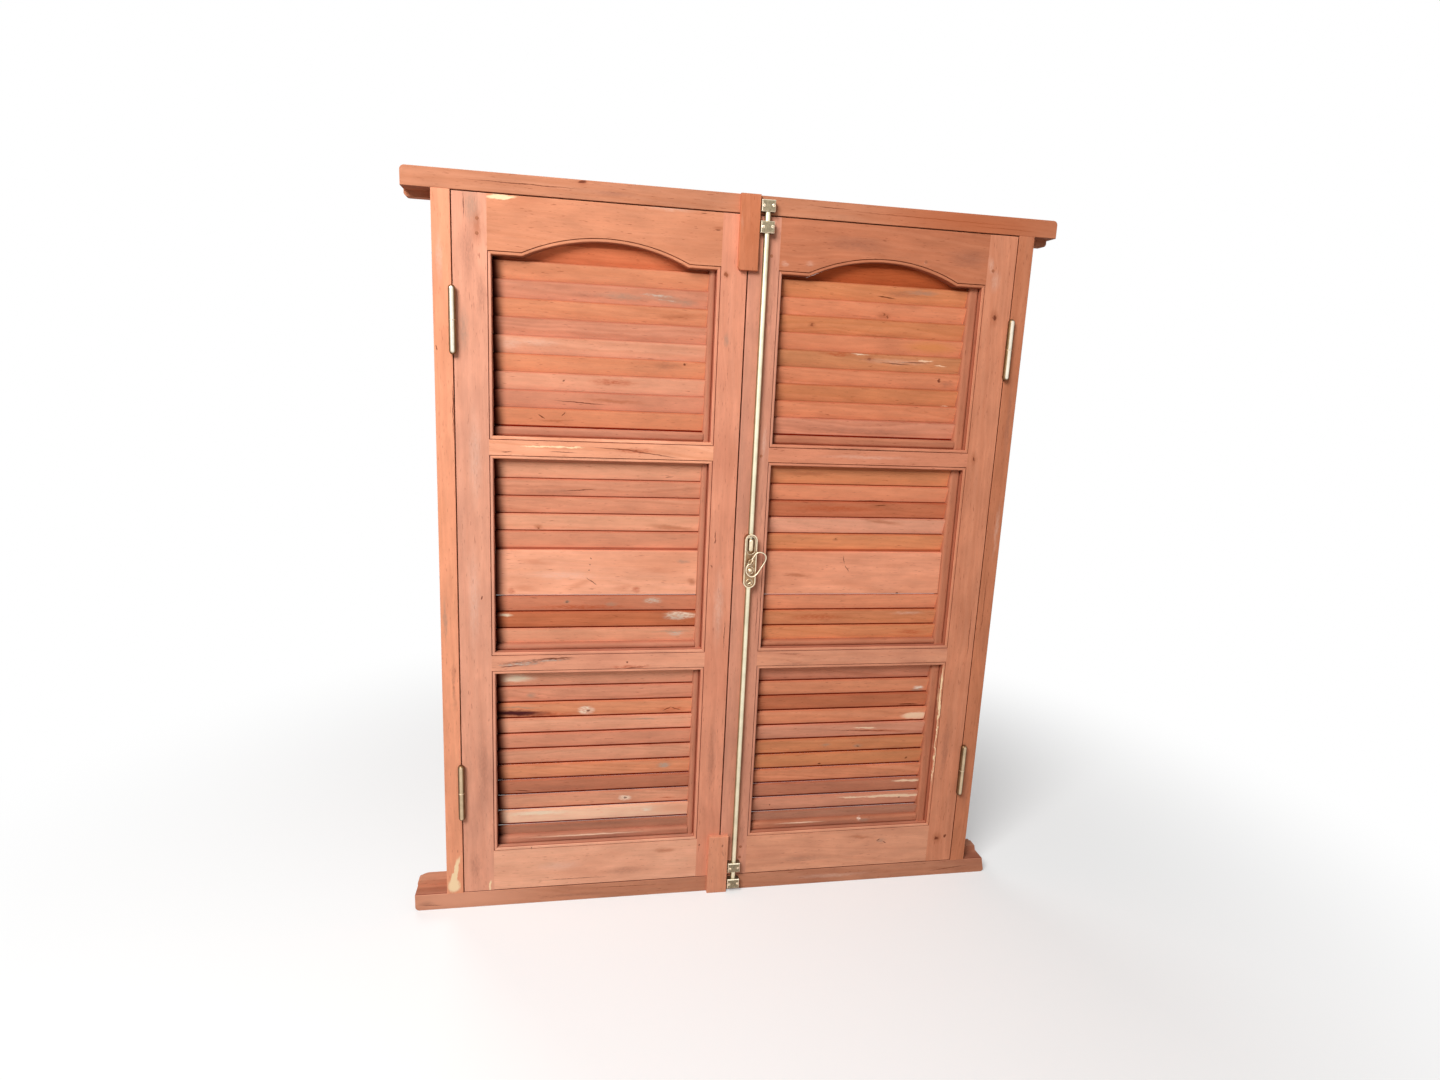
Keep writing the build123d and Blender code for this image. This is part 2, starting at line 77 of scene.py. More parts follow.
def wood_grain(tree, grain, early, late, figure):
    """Colour and height of planed hardwood, where grain is (across, depth, along) in metres.

    Growth rings are even steps of the distance to a pith that leans past the board. They are
    seen as soft bands 8 mm apart, with fibre streaks and short dark pores along them.
    Nearly all of a noise's values lie between 0.3 and 0.7, so those are its ends here.
    """
    wander = add_node(tree, "Mapping", {}, {"Vector": grain, "Scale": (7, 7, 2)})
    wander = add_node(tree, "TexNoise", {}, {"Vector": wander, "Scale": 1.0,
                                             "Detail": 4.0, "Roughness": 0.55})
    bent = add_node(tree, "VectorMath", {"operation": "MULTIPLY_ADD"},
                    {0: wander.outputs["Color"], 1: (0.08, 0.08, 0), 2: grain})
    pith = add_node(tree, "Mapping", {}, {"Vector": bent, "Location": (0.03, 0.11, 0),
                                          "Rotation": (0.06, 0.03, 0)})
    pith = add_node(tree, "VectorMath", {"operation": "MULTIPLY"}, {0: pith, 1: (1, 1, 0)})
    radius = add_node(tree, "VectorMath", {"operation": "LENGTH"}, {0: pith})
    rings = add_node(tree, "TexNoise", {"noise_dimensions": "1D"},
                     {"W": radius.outputs["Value"], "Scale": 1 / 0.008, "Detail": 2.0})
    rings = add_node(tree, "MapRange", {}, {"Value": rings.outputs["Fac"], 1: 0.3, 2: 0.7,
                                            3: -0.5, 4: 0.5})
    rings = add_node(tree, "Math", {"operation": "MULTIPLY_ADD"}, {0: rings, 1: figure, 2: 0.5})
    colour = add_node(tree, "Mix", mixed, {0: rings, 6: early, 7: late}).outputs[2]
    # slow changes of tone, about 30 mm across and 80 mm along the board
    cloud = add_node(tree, "Mapping", {}, {"Vector": grain, "Scale": (34, 34, 12)})
    cloud = add_node(tree, "TexNoise", {}, {"Vector": cloud, "Scale": 1.0, "Detail": 4.0,
                                            "Roughness": 0.6})
    cloud = add_node(tree, "MapRange", {}, {"Value": cloud.outputs["Fac"], 1: 0.3, 2: 0.7,
                                            3: 0.88, 4: 1.09})
    colour = add_node(tree, "VectorMath", {"operation": "SCALE"},
                      {0: colour, "Scale": cloud}).outputs[0]
    # real fibres are finer than a pixel, so the streaks are drawn 2 mm wide
    fibre = add_node(tree, "Mapping", {}, {"Vector": grain, "Scale": (500, 500, 20)})
    fibre = add_node(tree, "TexNoise", {}, {"Vector": fibre, "Scale": 1.0, "Detail": 3.0,
                                            "Roughness": 0.6})
    tint = add_node(tree, "MapRange", {}, {"Value": fibre.outputs["Fac"], 1: 0.3, 2: 0.7,
                                           3: 0.96, 4: 1.03})
    colour = add_node(tree, "VectorMath", {"operation": "SCALE"},
                      {0: colour, "Scale": tint}).outputs[0]
    # pores lie in short dashes, 1.5 mm wide and 15 mm long here so that they show
    pore = add_node(tree, "Mapping", {}, {"Vector": grain, "Scale": (650, 650, 65)})
    pore = add_node(tree, "TexNoise", {}, {"Vector": pore, "Scale": 1.0, "Detail": 1.0})
    pore = add_node(tree, "MapRange", {}, {"Value": pore.outputs["Fac"], 1: 0.68, 2: 0.78,
                                           3: 0, 4: 0.5})
    colour = add_node(tree, "Mix", multiplied,
                      {0: pore, 6: colour, 7: linear("#9A5A40")}).outputs[2]
    height = add_node(tree, "Math", {"operation": "SUBTRACT"},
                      {0: fibre.outputs["Fac"], 1: pore}).outputs[0]
    return colour, height


def planed_finish(tree, colour, height, gloss=0.07):
    """Close a wood material: matt and unsealed, its fibres 0.58 rough and its hollows 0.72."""
    rough = add_node(tree, "MapRange", {}, {"Value": height, 1: 0.3, 2: 0.7, 3: 0.72, 4: 0.58})
    relief = add_node(tree, "Bump", {}, {"Height": height, "Strength": 0.4, "Distance": 0.0005})
    shader = add_node(tree, "BsdfPrincipled", {},
                      {"Base Color": colour, "Roughness": rough, "IOR": 1.5,
                       "Specular IOR Level": gloss, "Normal": relief})
    add_node(tree, "OutputMaterial", {}, {"Surface": shader})


# what is left on old wood: colour, width of the soft edge, strength, and how broken up it is
blemish_looks = {
    "sapwood": ("#FBDCB0", 0.45, 1.0, 0.0), "pale_end": ("#F8CCAA", 0.45, 0.9, 0.0),
    "rose_end": ("#E2A082", 0.9, 0.9, 0.0), "ochre_end": ("#D88850", 0.9, 0.7, 0.0),
    "knot": ("#6A3020", 0.5, 0.85, 0.0), "halo": ("#AE6444", 0.9, 0.6, 0.0),
    "redwood": ("#B8623C", 0.95, 0.75, 0.0), "red": ("#B85634", 0.9, 0.7, 0.5),
    "stain": ("#D48664", 0.95, 0.5, 0.2), "burn": ("#3C1620", 0.75, 0.95, 0.0),
    "smear": ("#684636", 0.9, 0.9, 0.6), "grime": ("#8E5E4E", 0.95, 0.4, 0.3),
    "grey": ("#A48674", 0.9, 0.6, 0.3), "crack": ("#5A2212", 0.6, 0.85, 0.0),
    "putty": ("#CCB2A2", 0.8, 0.95, 0.8), "filler": ("#EED2BE", 0.6, 0.95, 0.6),
    "white": ("#F2D6BC", 0.85, 0.95, 0.1), "scuff": ("#EAC8B6", 0.95, 0.32, 0.4),
    # shine is a painted highlight, a line of light along a rounded strip
    "painted_highlight": ("#F4CDB0", 0.95, 0.9, 0.0),
}


def blemish(tree, colour, outline, broken, kind, centre, reach, turn):
    """Lay one mark over the colour: a ragged ellipse, given by its centre and half lengths."""
    tone, edge, strength, breaks = blemish_looks[kind]
    spot = add_node(tree, "Mapping", {"vector_type": "TEXTURE"},
                    {"Vector": outline, "Location": centre, "Scale": reach,
                     "Rotation": (0, math.radians(turn), 0)})
    spot = add_node(tree, "VectorMath", {"operation": "LENGTH"}, {0: spot})
    mask = add_node(tree, "MapRange", eased,
                    {"Value": spot.outputs["Value"], 1: 1.0, 2: 1.0 - edge, 3: 0.0, 4: strength})
    if breaks:
        share = add_node(tree, "MapRange", {}, {"Value": broken, 3: 1 - breaks, 4: 1.0})
        mask = add_node(tree, "Math", {"operation": "MULTIPLY"}, {0: mask, 1: share})
    return add_node(tree, "Mix", mixed, {0: mask, 6: colour, 7: linear(tone)}).outputs[2]


def rough_edges(tree, grain, place):
    """A place shaken by 5 mm and by 2 mm, for ragged and fine outlines, and flecks for breaks.

    The waves are 8 mm across the grain and 22 mm along it. The flecks are 2.4 mm across and
    8 mm along, coarser than real ones so that they show.
    """
    shake = add_node(tree, "Mapping", {}, {"Vector": grain, "Scale": (130, 130, 45)})
    shake = add_node(tree, "TexNoise", {}, {"Vector": shake, "Scale": 1.0, "Detail": 3.0,
                                            "Roughness": 0.65})
    offset = add_node(tree, "VectorMath", {"operation": "SUBTRACT"},
                      {0: shake.outputs["Color"], 1: (0.5, 0.5, 0.5)})
    ragged = add_node(tree, "VectorMath", {"operation": "MULTIPLY_ADD"},
                      {0: offset, 1: (0.014, 0, 0.010), 2: place})
    fine = add_node(tree, "VectorMath", {"operation": "MULTIPLY_ADD"},
                    {0: offset, 1: (0.005, 0, 0.0035), 2: place})
    flecks = add_node(tree, "Mapping", {}, {"Vector": grain, "Scale": (420, 420, 130)})
    flecks = add_node(tree, "TexNoise", {}, {"Vector": flecks, "Scale": 1.0,
                                             "Detail": 2.0})
    flecks = add_node(tree, "MapRange", {}, {"Value": flecks.outputs["Fac"], 1: 0.42, 2: 0.56})
    return ragged.outputs[0], fine.outputs[0], flecks.outputs[0]


def shaded_end(tree, across, colour, left_end):
    """Paint shade over the last millimetres at a panel's left stile, where the stile casts its
    shadow.

    The left leaf's panels have a wide dark end, and the right leaf's a narrow one.
    """
    reach, strength = (25, 1.0) if left_end < 0 else (11, 0.85)
    # painted shade, darkest at the stile's edge and gone at the reach
    painted_shade_at_stile = add_node(tree, "MapRange", eased,
                        {"Value": across, 1: left_end / 1000, 2: (left_end + reach) / 1000,
                         3: strength, 4: 0.0})
    return add_node(tree, "Mix", multiplied,
                    {0: painted_shade_at_stile, 6: colour, 7: linear("#421608")}).outputs[2]


def board(name, runs, seed, early, late, blotch, marks=(), figure=0.35, cross_below=None,
          face=-0.033, left_end=None):
    """Material of one sawn board, whose grain runs along Z or X. Seed picks its piece of the log.

    A mark is its kind, X, Z, half width and half height in mm, and a turn in degrees. It lies
    on the board's face, at Y. Where X is under cross_below, the grain runs along X instead.
    A board inside an opening has painted shade at its left end, and any other has painted shade,
    with some dust, in its quirks.
    """
    material, tree = new_material(name)
    place = add_node(tree, "TexCoord").outputs["Object"]
    axes = add_node(tree, "SeparateXYZ", {}, {0: place}).outputs
    level = add_node(tree, "CombineXYZ", {}, {0: axes[2], 1: axes[1], 2: axes[0]}).outputs[0]
    grain = place if runs == "Z" else level
    if cross_below is not None:
        crossed = add_node(tree, "Math", {"operation": "LESS_THAN"}, {0: axes[0], 1: cross_below})
        grain = add_node(tree, "Mix", {"data_type": "VECTOR"},
                         {0: crossed, 4: grain, 5: level}).outputs[1]
    grain = add_node(tree, "Mapping", {}, {"Vector": grain,
                                           "Location": (0.13 * seed, 0.0, 0.91 * seed)}).outputs[0]
    colour, height = wood_grain(tree, grain, linear(early), linear(late), figure)
    # darker patches, about 80 mm across and 220 mm along the board
    patch = add_node(tree, "Mapping", {}, {"Vector": grain, "Scale": (13, 13, 4.5)})
    patch = add_node(tree, "TexNoise", {}, {"Vector": patch, "Scale": 1.0, "Detail": 4.0,
                                            "Roughness": 0.6})
    patch = add_node(tree, "MapRange", {}, {"Value": patch.outputs["Fac"], 1: 0.48, 2: 0.72,
                                            3: 0, 4: 0.45})
    colour = add_node(tree, "Mix", mixed, {0: patch, 6: colour, 7: linear(blotch)}).outputs[2]
    ragged, fine, broken = rough_edges(tree, grain, place)
    mark_depth = 0.014
    for kind, x, z, half_x, half_z, turn in marks:
        outline = fine if kind in ("crack", "painted_highlight") else ragged
        colour = blemish(tree, colour, outline, broken, kind, (x / 1000, face, z / 1000),
                         (half_x / 1000, mark_depth, half_z / 1000), turn)
    if left_end is not None:
        planed_finish(tree, shaded_end(tree, axes[0], colour, left_end), height)
        return material
    # painted shade, with some dust, darkens the quirks, 1 to 3 mm behind the face, and the edges
    # behind them down to the depth of the slats
    sunk = add_node(tree, "MapRange", eased,
                    {"Value": axes[1], 1: -0.0320, 2: -0.0304, 3: 0.0, 4: 0.85})
    back = add_node(tree, "MapRange", eased,
                    {"Value": axes[1], 1: -0.0300, 2: -0.0285, 3: 1.0, 4: 0.45})
    rear = add_node(tree, "MapRange", eased,
                    {"Value": axes[1], 1: -0.014, 2: -0.004, 3: 1.0, 4: 0.0})
    for part in (back, rear):
        sunk = add_node(tree, "Math", {"operation": "MULTIPLY"}, {0: sunk, 1: part})
    colour = add_node(tree, "Mix", multiplied,
                      {0: sunk, 6: colour, 7: linear("#94401F")}).outputs[2]
    planed_finish(tree, colour, height)
    return material


def dress(node, material):
    """Put one material on every slot of a CAD node."""
    for slot in bpy.data.objects[node].material_slots:
        slot.material = material


# the left jamb is toned lighter and the right jamb darker, a painted light that falls from the left
frame_boards = {
    "left_jamb": board("jamb_wood_left_painted_light", "Z", 1, "#F6A983", "#E59674", "#EC9A72", (
        ("sapwood", -533, 78, 6, 42, 12), ("sapwood", -536, 50, 14, 18, 0),
        ("grime", -528, 470, 5, 90, 0), ("crack", -520, 980, 0.9, 60, 0),
        ("knot", -545, 1090, 2, 5, 0), ("scuff", -538, 1240, 7, 60, 0),
        ("grey", -542, 600, 5, 60, 0))),
    "right_jamb": board("jamb_wood_right_painted_shade", "Z", 2, "#D28865", "#C17553", "#AB6443", (
        ("grime", 538, 1000, 7, 120, 0), ("scuff", 540, 780, 6, 80, 0),
        ("grime", 536, 200, 9, 60, 0), ("crack", 530, 620, 0.9, 70, 0))),
    "sill": board("sill_wood", "X", 3, "#CD9072", "#BD7A5C", "#A6654E", (
        ("rose_end", -520, 20, 200, 45, 0), ("crack", 512, 14, 55, 0.9, -5),
        ("crack", -580, 10, 26, 0.8, 3), ("grime", -590, 14, 22, 8, 0),
        ("grime", -300, 12, 90, 5, 0), ("scuff", 250, 16, 120, 6, 0),
        ("crack", -200, 24, 80, 0.7, 1))),
    "head": board("head_wood", "X", 4, "#D39171", "#C27C5A", "#B26B49", (
        ("crack", -400, 1365, 120, 0.8, 0.3), ("crack", 150, 1369, 40, 0.8, 0.3),
        ("crack", 350, 1365, 200, 1.0, 0.3), ("crack", 480, 1358, 90, 0.8, 0.8),
        ("halo", -301, 1375, 16, 6, 0), ("knot", -301, 1376, 8, 3.5, 0),
        ("redwood", 420, 1364, 330, 50, 0), ("grime", -250, 1362, 60, 7, 0))),
}
for node, material in frame_boards.items():
    dress(node, material)

# The leaves' stiles and rails, mortised and pegged, each planed board with a tone of its own.
# They were sanded after gluing up, so their faces are flush, matt and pinkish with wear.
leaf_boards = {
    "left_hinge_stile": board("stile_wood_1", "Z", 5, "#EEAB8E", "#DE987C", "#BD8672", (
        ("sapwood", -467, 46, 3.5, 15, 8), ("halo", -476, 1293, 12, 40, 0),
        ("grime", -490, 1250, 18, 70, 0), ("grey", -484, 1325, 20, 40, 0),
        ("grime", -470, 1180, 12, 60, 0), ("grey", -500, 1120, 9, 50, 0),
        ("crack", -497, 1325, 0.8, 26, 0), ("scuff", -490, 640, 14, 130, 0),
        ("grime", -478, 300, 14, 130, 0), ("grime", -494, 90, 16, 60, 0),
        ("scuff", -484, 900, 16, 120, 0), ("knot", -476, 640, 1.5, 5, 0))),
    "left_meeting_stile": board("stile_wood_2", "Z", 6, "#EA9F81", "#DA8E6F", "#CC7C60", (
        ("grey", -38, 1127, 8, 17, 0), ("knot", -43, 759, 1.6, 15, 0),
        ("knot", -44, 1241, 4, 5, 0), ("halo", -44, 1241, 8, 10, 0),
        ("crack", -16, 560, 0.8, 40, 0), ("scuff", -30, 620, 14, 100, 0),
        ("grime", -30, 300, 10, 120, 0), ("knot", -48, 700, 1.4, 4, 0),
        ("knot", -47.4, 108.3, 1.8, 1.8, 0))),
    "right_meeting_stile": board("stile_wood_3", "Z", 7, "#E19E82", "#CF8A71", "#B17863", (
        ("grime", 42, 1180, 5, 60, 0), ("grime", 44, 820, 5, 80, 0), ("scuff", 44, 940, 5, 50, 0),
        ("grime", 30, 330, 10, 90, 0), ("crack", 47, 600, 0.8, 60, 0),
        ("grime", 42, 130, 7, 50, 0))),
    "right_hinge_stile": board("stile_wood_4", "Z", 8, "#E19775", "#CF8261", "#BA7253", (
        ("halo", 484, 1195, 12, 24, 0), ("knot", 484, 1195, 4, 7, 0), ("halo", 474, 923, 9, 18, 0),
        ("knot", 474, 923, 2.5, 5, 0), ("halo", 480, 90, 16, 20, 0), ("knot", 480, 90, 5, 6, 0),
        ("knot", 498, 95, 3, 5, 0), ("scuff", 478, 1262, 13, 26, 8),
        ("scuff", 466, 1290, 9, 22, -10), ("crack", 447, 1113, 1.4, 6, 40),
        ("grime", 478, 300, 12, 90, 0), ("crack", 505, 560, 0.8, 70, 0),
        ("sapwood", 454.5, 419, 3.6, 74, 0), ("scuff", 455, 280, 3, 90, 0),
        ("sapwood", 455, 300, 1.2, 90, 0))),
    "left_bottom_rail": board("rail_wood_1", "X", 9, "#F8BA9A", "#E7A484", "#D89072", (
        ("crack", -387, 123, 1, 3, 0), ("grime", -200, 60, 70, 12, 0),
        ("scuff", -330, 80, 60, 14, 0), ("halo", -120, 100, 30, 8, 0),
        ("crack", -300, 49, 80, 0.7, 0))),
    "left_lower_mid_rail": board("rail_wood_2", "X", 10, "#EEA98A", "#DD9576", "#C57F67", (
        ("smear", -402, 512, 66, 8, -4), ("smear", -345, 518, 50, 5.5, -3),
        ("putty", -408, 510, 52, 4.4, -4), ("putty", -350, 516, 36, 2.4, -2),
        ("crack", -345, 520, 44, 1.2, -3), ("crack", -424, 506, 26, 1.1, -4),
        ("knot", -206, 509, 2.5, 3, 0), ("red", -200, 500, 60, 4, 0),
        ("crack", -190, 499, 26, 0.9, -4))),
    "left_upper_mid_rail": board("rail_wood_3", "X", 11, "#F9B18E", "#E99D78", "#D68863", (
        ("sapwood", -350, 923, 70, 2.0, 0), ("red", -200, 920, 50, 7, 0),
        ("crack", -230, 922, 60, 1.0, 3), ("crack", -170, 915, 60, 1.0, 7),
        ("crack", -330, 914, 30, 0.9, 2), ("crack", -430, 912, 12, 0.9, -3),
        ("grime", -300, 903, 150, 3, 0)), figure=1.0),
    "left_top_rail": board("rail_wood_4", "X", 12, "#E09875", "#D18662", "#C27552", (
        ("sapwood", -436, 1342, 30, 4.5, -2), ("halo", -62, 1319, 14, 5, 0),
        ("crack", -62, 1316, 7, 0.9, 0), ("crack", -88, 1342, 8, 0.8, 0),
        ("scuff", -150, 1345, 60, 6, 0))),
    "right_bottom_rail": board("rail_wood_5", "X", 13, "#EFAC8A", "#DA9373", "#C07D63", (
        ("grey", 352, 92, 13, 8, 0), ("crack", 345, 94, 5, 1.2, -30),
        ("crack", 360, 88, 5, 1.2, 30), ("halo", 300, 104, 50, 6, 4),
        ("grime", 180, 60, 80, 12, 0))),
    "right_lower_mid_rail": board("rail_wood_6", "X", 14, "#E7A282", "#D48D6D", "#BE745D", (
        ("grime", 130, 500, 60, 4, 0), ("crack", 120, 521, 30, 0.8, 0))),
    "right_upper_mid_rail": board("rail_wood_7", "X", 15, "#E29575", "#CF8262", "#B76A4F", (
        ("grime", 250, 935, 190, 2.5, 0), ("crack", 250, 934, 180, 0.8, 0),
        ("scuff", 250, 920, 120, 5, 0))),
    "right_top_rail": board("rail_wood_8", "X", 16, "#CC8361", "#BB6E4D", "#A86144", (
        ("scuff", 64, 1267, 9, 8, 0), ("scuff", 111, 1270, 12, 7, 0),
        ("scuff", 333, 1286, 3, 3, 0), ("grime", 200, 1310, 90, 20, 0),
        ("grime", 420, 1300, 60, 26, 0))),
}
for node, material in leaf_boards.items():
    dress(node, material)

# Pegs of the same hardwood hold the mortised corners. They were driven through, cut off and
# sanded nearly flush, so each shows its darker end grain.


def add_piece(name, shells, material):
    """One piece of closed shells, each a grid of points in millimetres (rings, around, 3).

    A shell joins each point to the next of its own ring and of the next ring. A ring grid is
    capped by a fan at its first and last ring, or else joins its last ring to its first.
    Faces are turned outwards by the sign of the volume they enclose.
    """
    points, faces, count = [], [], 0
    for grid, ring_ends in shells:
        rows, columns = grid.shape[:2]
        number = np.arange(rows * columns).reshape(rows, columns)
        ahead = number[1:] if ring_ends else np.roll(number, -1, axis=0)
        here = number[:-1] if ring_ends else number
        quads = np.stack([here, np.roll(here, -1, axis=1), np.roll(ahead, -1, axis=1), ahead],
                         axis=-1).reshape(-1, 4)
        corners = [grid.reshape(-1, 3)]
        fans = np.empty((0, 3), int)
        if ring_ends:
            corners += [grid[0].mean(axis=0)[None], grid[-1].mean(axis=0)[None]]
            hub = np.full(columns, rows * columns)
            first = np.stack([np.roll(number[0], -1), number[0], hub], axis=-1)
            last = np.stack([number[-1], np.roll(number[-1], -1), hub + 1], axis=-1)
            fans = np.concatenate([first, last])
        corners = np.concatenate(corners)
        triangles = np.concatenate([quads[:, :3], quads[:, [0, 2, 3]], fans])
        a, b, c = (corners[triangles[:, i]] for i in range(3))
        if np.einsum("ij,ij->", a - corners[0], np.cross(b - corners[0], c - corners[0])) < 0:
            quads, fans = quads[:, ::-1], fans[:, ::-1]
        points += [corners]
        faces += (quads + count).tolist() + (fans + count).tolist()
        count += len(corners)
    mesh = bpy.data.meshes.new(name)
    mesh.from_pydata((np.concatenate(points) / 1000).tolist(), [], faces)
    mesh.polygons.foreach_set("use_smooth", np.ones(len(mesh.polygons), bool))
    sharp_angle = 40
    mesh.set_sharp_from_angle(angle=math.radians(sharp_angle))
    mesh.materials.append(material)
    piece = bpy.data.objects.new(name, mesh)
    bpy.context.collection.objects.link(piece)
    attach(piece, "root")


def screw_head(x, y, z, radius, rise, turn, slot):
    """A round head on its seat at y: rings of a flat dome, lowered along a slot of that width.

    The height over the seat is rise times the root of one minus 0.8 of the share of the radius
    squared. The first ring is sunk 0.6 mm into the seat, and the slot is 0.7 of the rise deep.
    """
    share = np.array([1.0, 1.0, 0.97, 0.9, 0.8, 0.68, 0.55, 0.42, 0.3, 0.2, 0.1])[:, None]
    angle = np.linspace(0, math.tau, 48, endpoint=False)[None]
    across, up = share * radius * np.cos(angle), share * radius * np.sin(angle)
    height = rise * np.sqrt(1 - 0.8 * share ** 2) * np.ones_like(angle)
    turn = math.radians(turn)
    off_slot = np.abs(across * math.sin(turn) - up * math.cos(turn))
    height -= 0.7 * rise * np.clip(1.6 - off_slot / (0.5 * slot), 0, 1) if slot else 0
    height[0] = -0.6
    return np.stack([x + across, y - height, z + up], axis=-1), True


peg_wood = board("peg_end_grain", "Z", 30, "#C07C5C", "#A4664A", "#8A5038")
peg_places = ((-475.6, 1305.1), (-476, 1280.9), (37.8, 1278.7), (334.8, 1288.2), (471.5, 1281),
              (38.6, 916.9), (40.4, 97.8), (39.9, 73.7))
leaf_front = -33.0
pegs = [screw_head(x, leaf_front, z, radius=3.0, rise=0.35, turn=0, slot=0) for x, z in peg_places]
add_piece("corner_pegs", pegs, peg_wood)

# The strips that hold the slats' right ends and close each opening's bottom, rounded in front,
# and the flat board in each middle panel. All are planed hardwood, pinned inside the stiles.
panel_boards = {
    "left_louvre_strips": board("strip_wood_1", "Z", 20, "#CE8A6E", "#B8765C", "#A4644A", (
        ("grime", -262, 135, 230, 16, 0), ("grime", -262, 131, 230, 8, 0),
        ("painted_highlight", -274, 139, 150, 2.2, 0.2)), cross_below=-0.0724, face=-0.0224, left_end=-452.9),
    "right_louvre_strips": board("strip_wood_2", "Z", 21, "#C88264", "#B67052", "#9E5C44", (
        ("grime", 246, 135, 230, 16, 0), ("grime", 246, 131, 230, 8, 0),
        ("grey", 312, 137, 16, 6, 0), ("filler", 302, 141, 7, 4, 0),
        ("painted_highlight", 169, 139, 70, 2.0, 0)), cross_below=0.4329, face=-0.0224, left_end=59.9),
    "left_middle_board": board("panel_wood_1", "X", 22, "#F9B293", "#EBA17D", "#D98B68", (
        ("crack", -276, 668, 16, 1.0, 35), ("red", -190, 651, 10, 9, 20),
        ("red", -424, 650, 9, 10, 0), ("knot", -278, 713, 1.5, 1.5, 0),
        ("knot", -278, 700, 1.5, 1.5, 0), ("knot", -279, 690, 1.5, 1.5, 0),
        ("grey", -100, 708, 18, 5, 0), ("halo", -83, 667, 12, 10, 30),
        ("scuff", -330, 680, 80, 14, 0), ("stain", -215, 655, 30, 9, -12),
        ("stain", -400, 655, 30, 10, 10), ("stain", -300, 662, 36, 9, -20),
        ("stain", -150, 690, 56, 8, 5), ("stain", -380, 705, 50, 7, 4)),
        face=-0.0176, left_end=-452.9),
    "right_middle_board": board("panel_wood_2", "X", 23, "#F5A886", "#E29371", "#CF815E", (
        ("crack", 224, 712, 0.9, 11, -12), ("crack", 232, 694, 0.9, 10, -34),
        ("knot", 344, 642, 4, 3, 0), ("halo", 130, 680, 44, 6, 4), ("stain", 240, 664, 60, 7, 3),
        ("stain", 330, 700, 60, 9, -4)), face=-0.0176, left_end=59.9),
}
for node, material in panel_boards.items():
    dress(node, material)

# The louvre slats: thin planed boards housed at a slope in the left stile and the right strip.
# They were cut from mixed offcuts, so every slat differs in tone and grain from its neighbours.
# deep and bright are the top slats under the arches: deep is darkened as painted shade, and bright
# is reddened and lightened as painted light in the shade there
slat_tones = {
    "orange": ("#E29470", "#D68662"), "tan": ("#E29C7E", "#D48E72"), "rose": ("#DE9478", "#CE8468"),
    "pink": ("#EAA486", "#DE9678"), "red": ("#CA7856", "#B66444"), "brown": ("#C87E62", "#B66E54"),
    "pale": ("#FFCBAE", "#F4BC9E"), "ochre": ("#DC8C62", "#CC7C52"), "deep": ("#BE6038", "#AE522E"),
    "ruddy": ("#D4866A", "#C4765A"), "figured": ("#DC9268", "#BC7650"),
    "bright": ("#D87A54", "#C86C48"), "coral": ("#E4906C", "#D4805C"),
    "amber": ("#D88860", "#C87A52"), "strip": ("#C0826A", "#AC7058"),
}
slat_slope = math.radians(18)
slat_middle_y, slat_half_rise = -9.75, 16.11


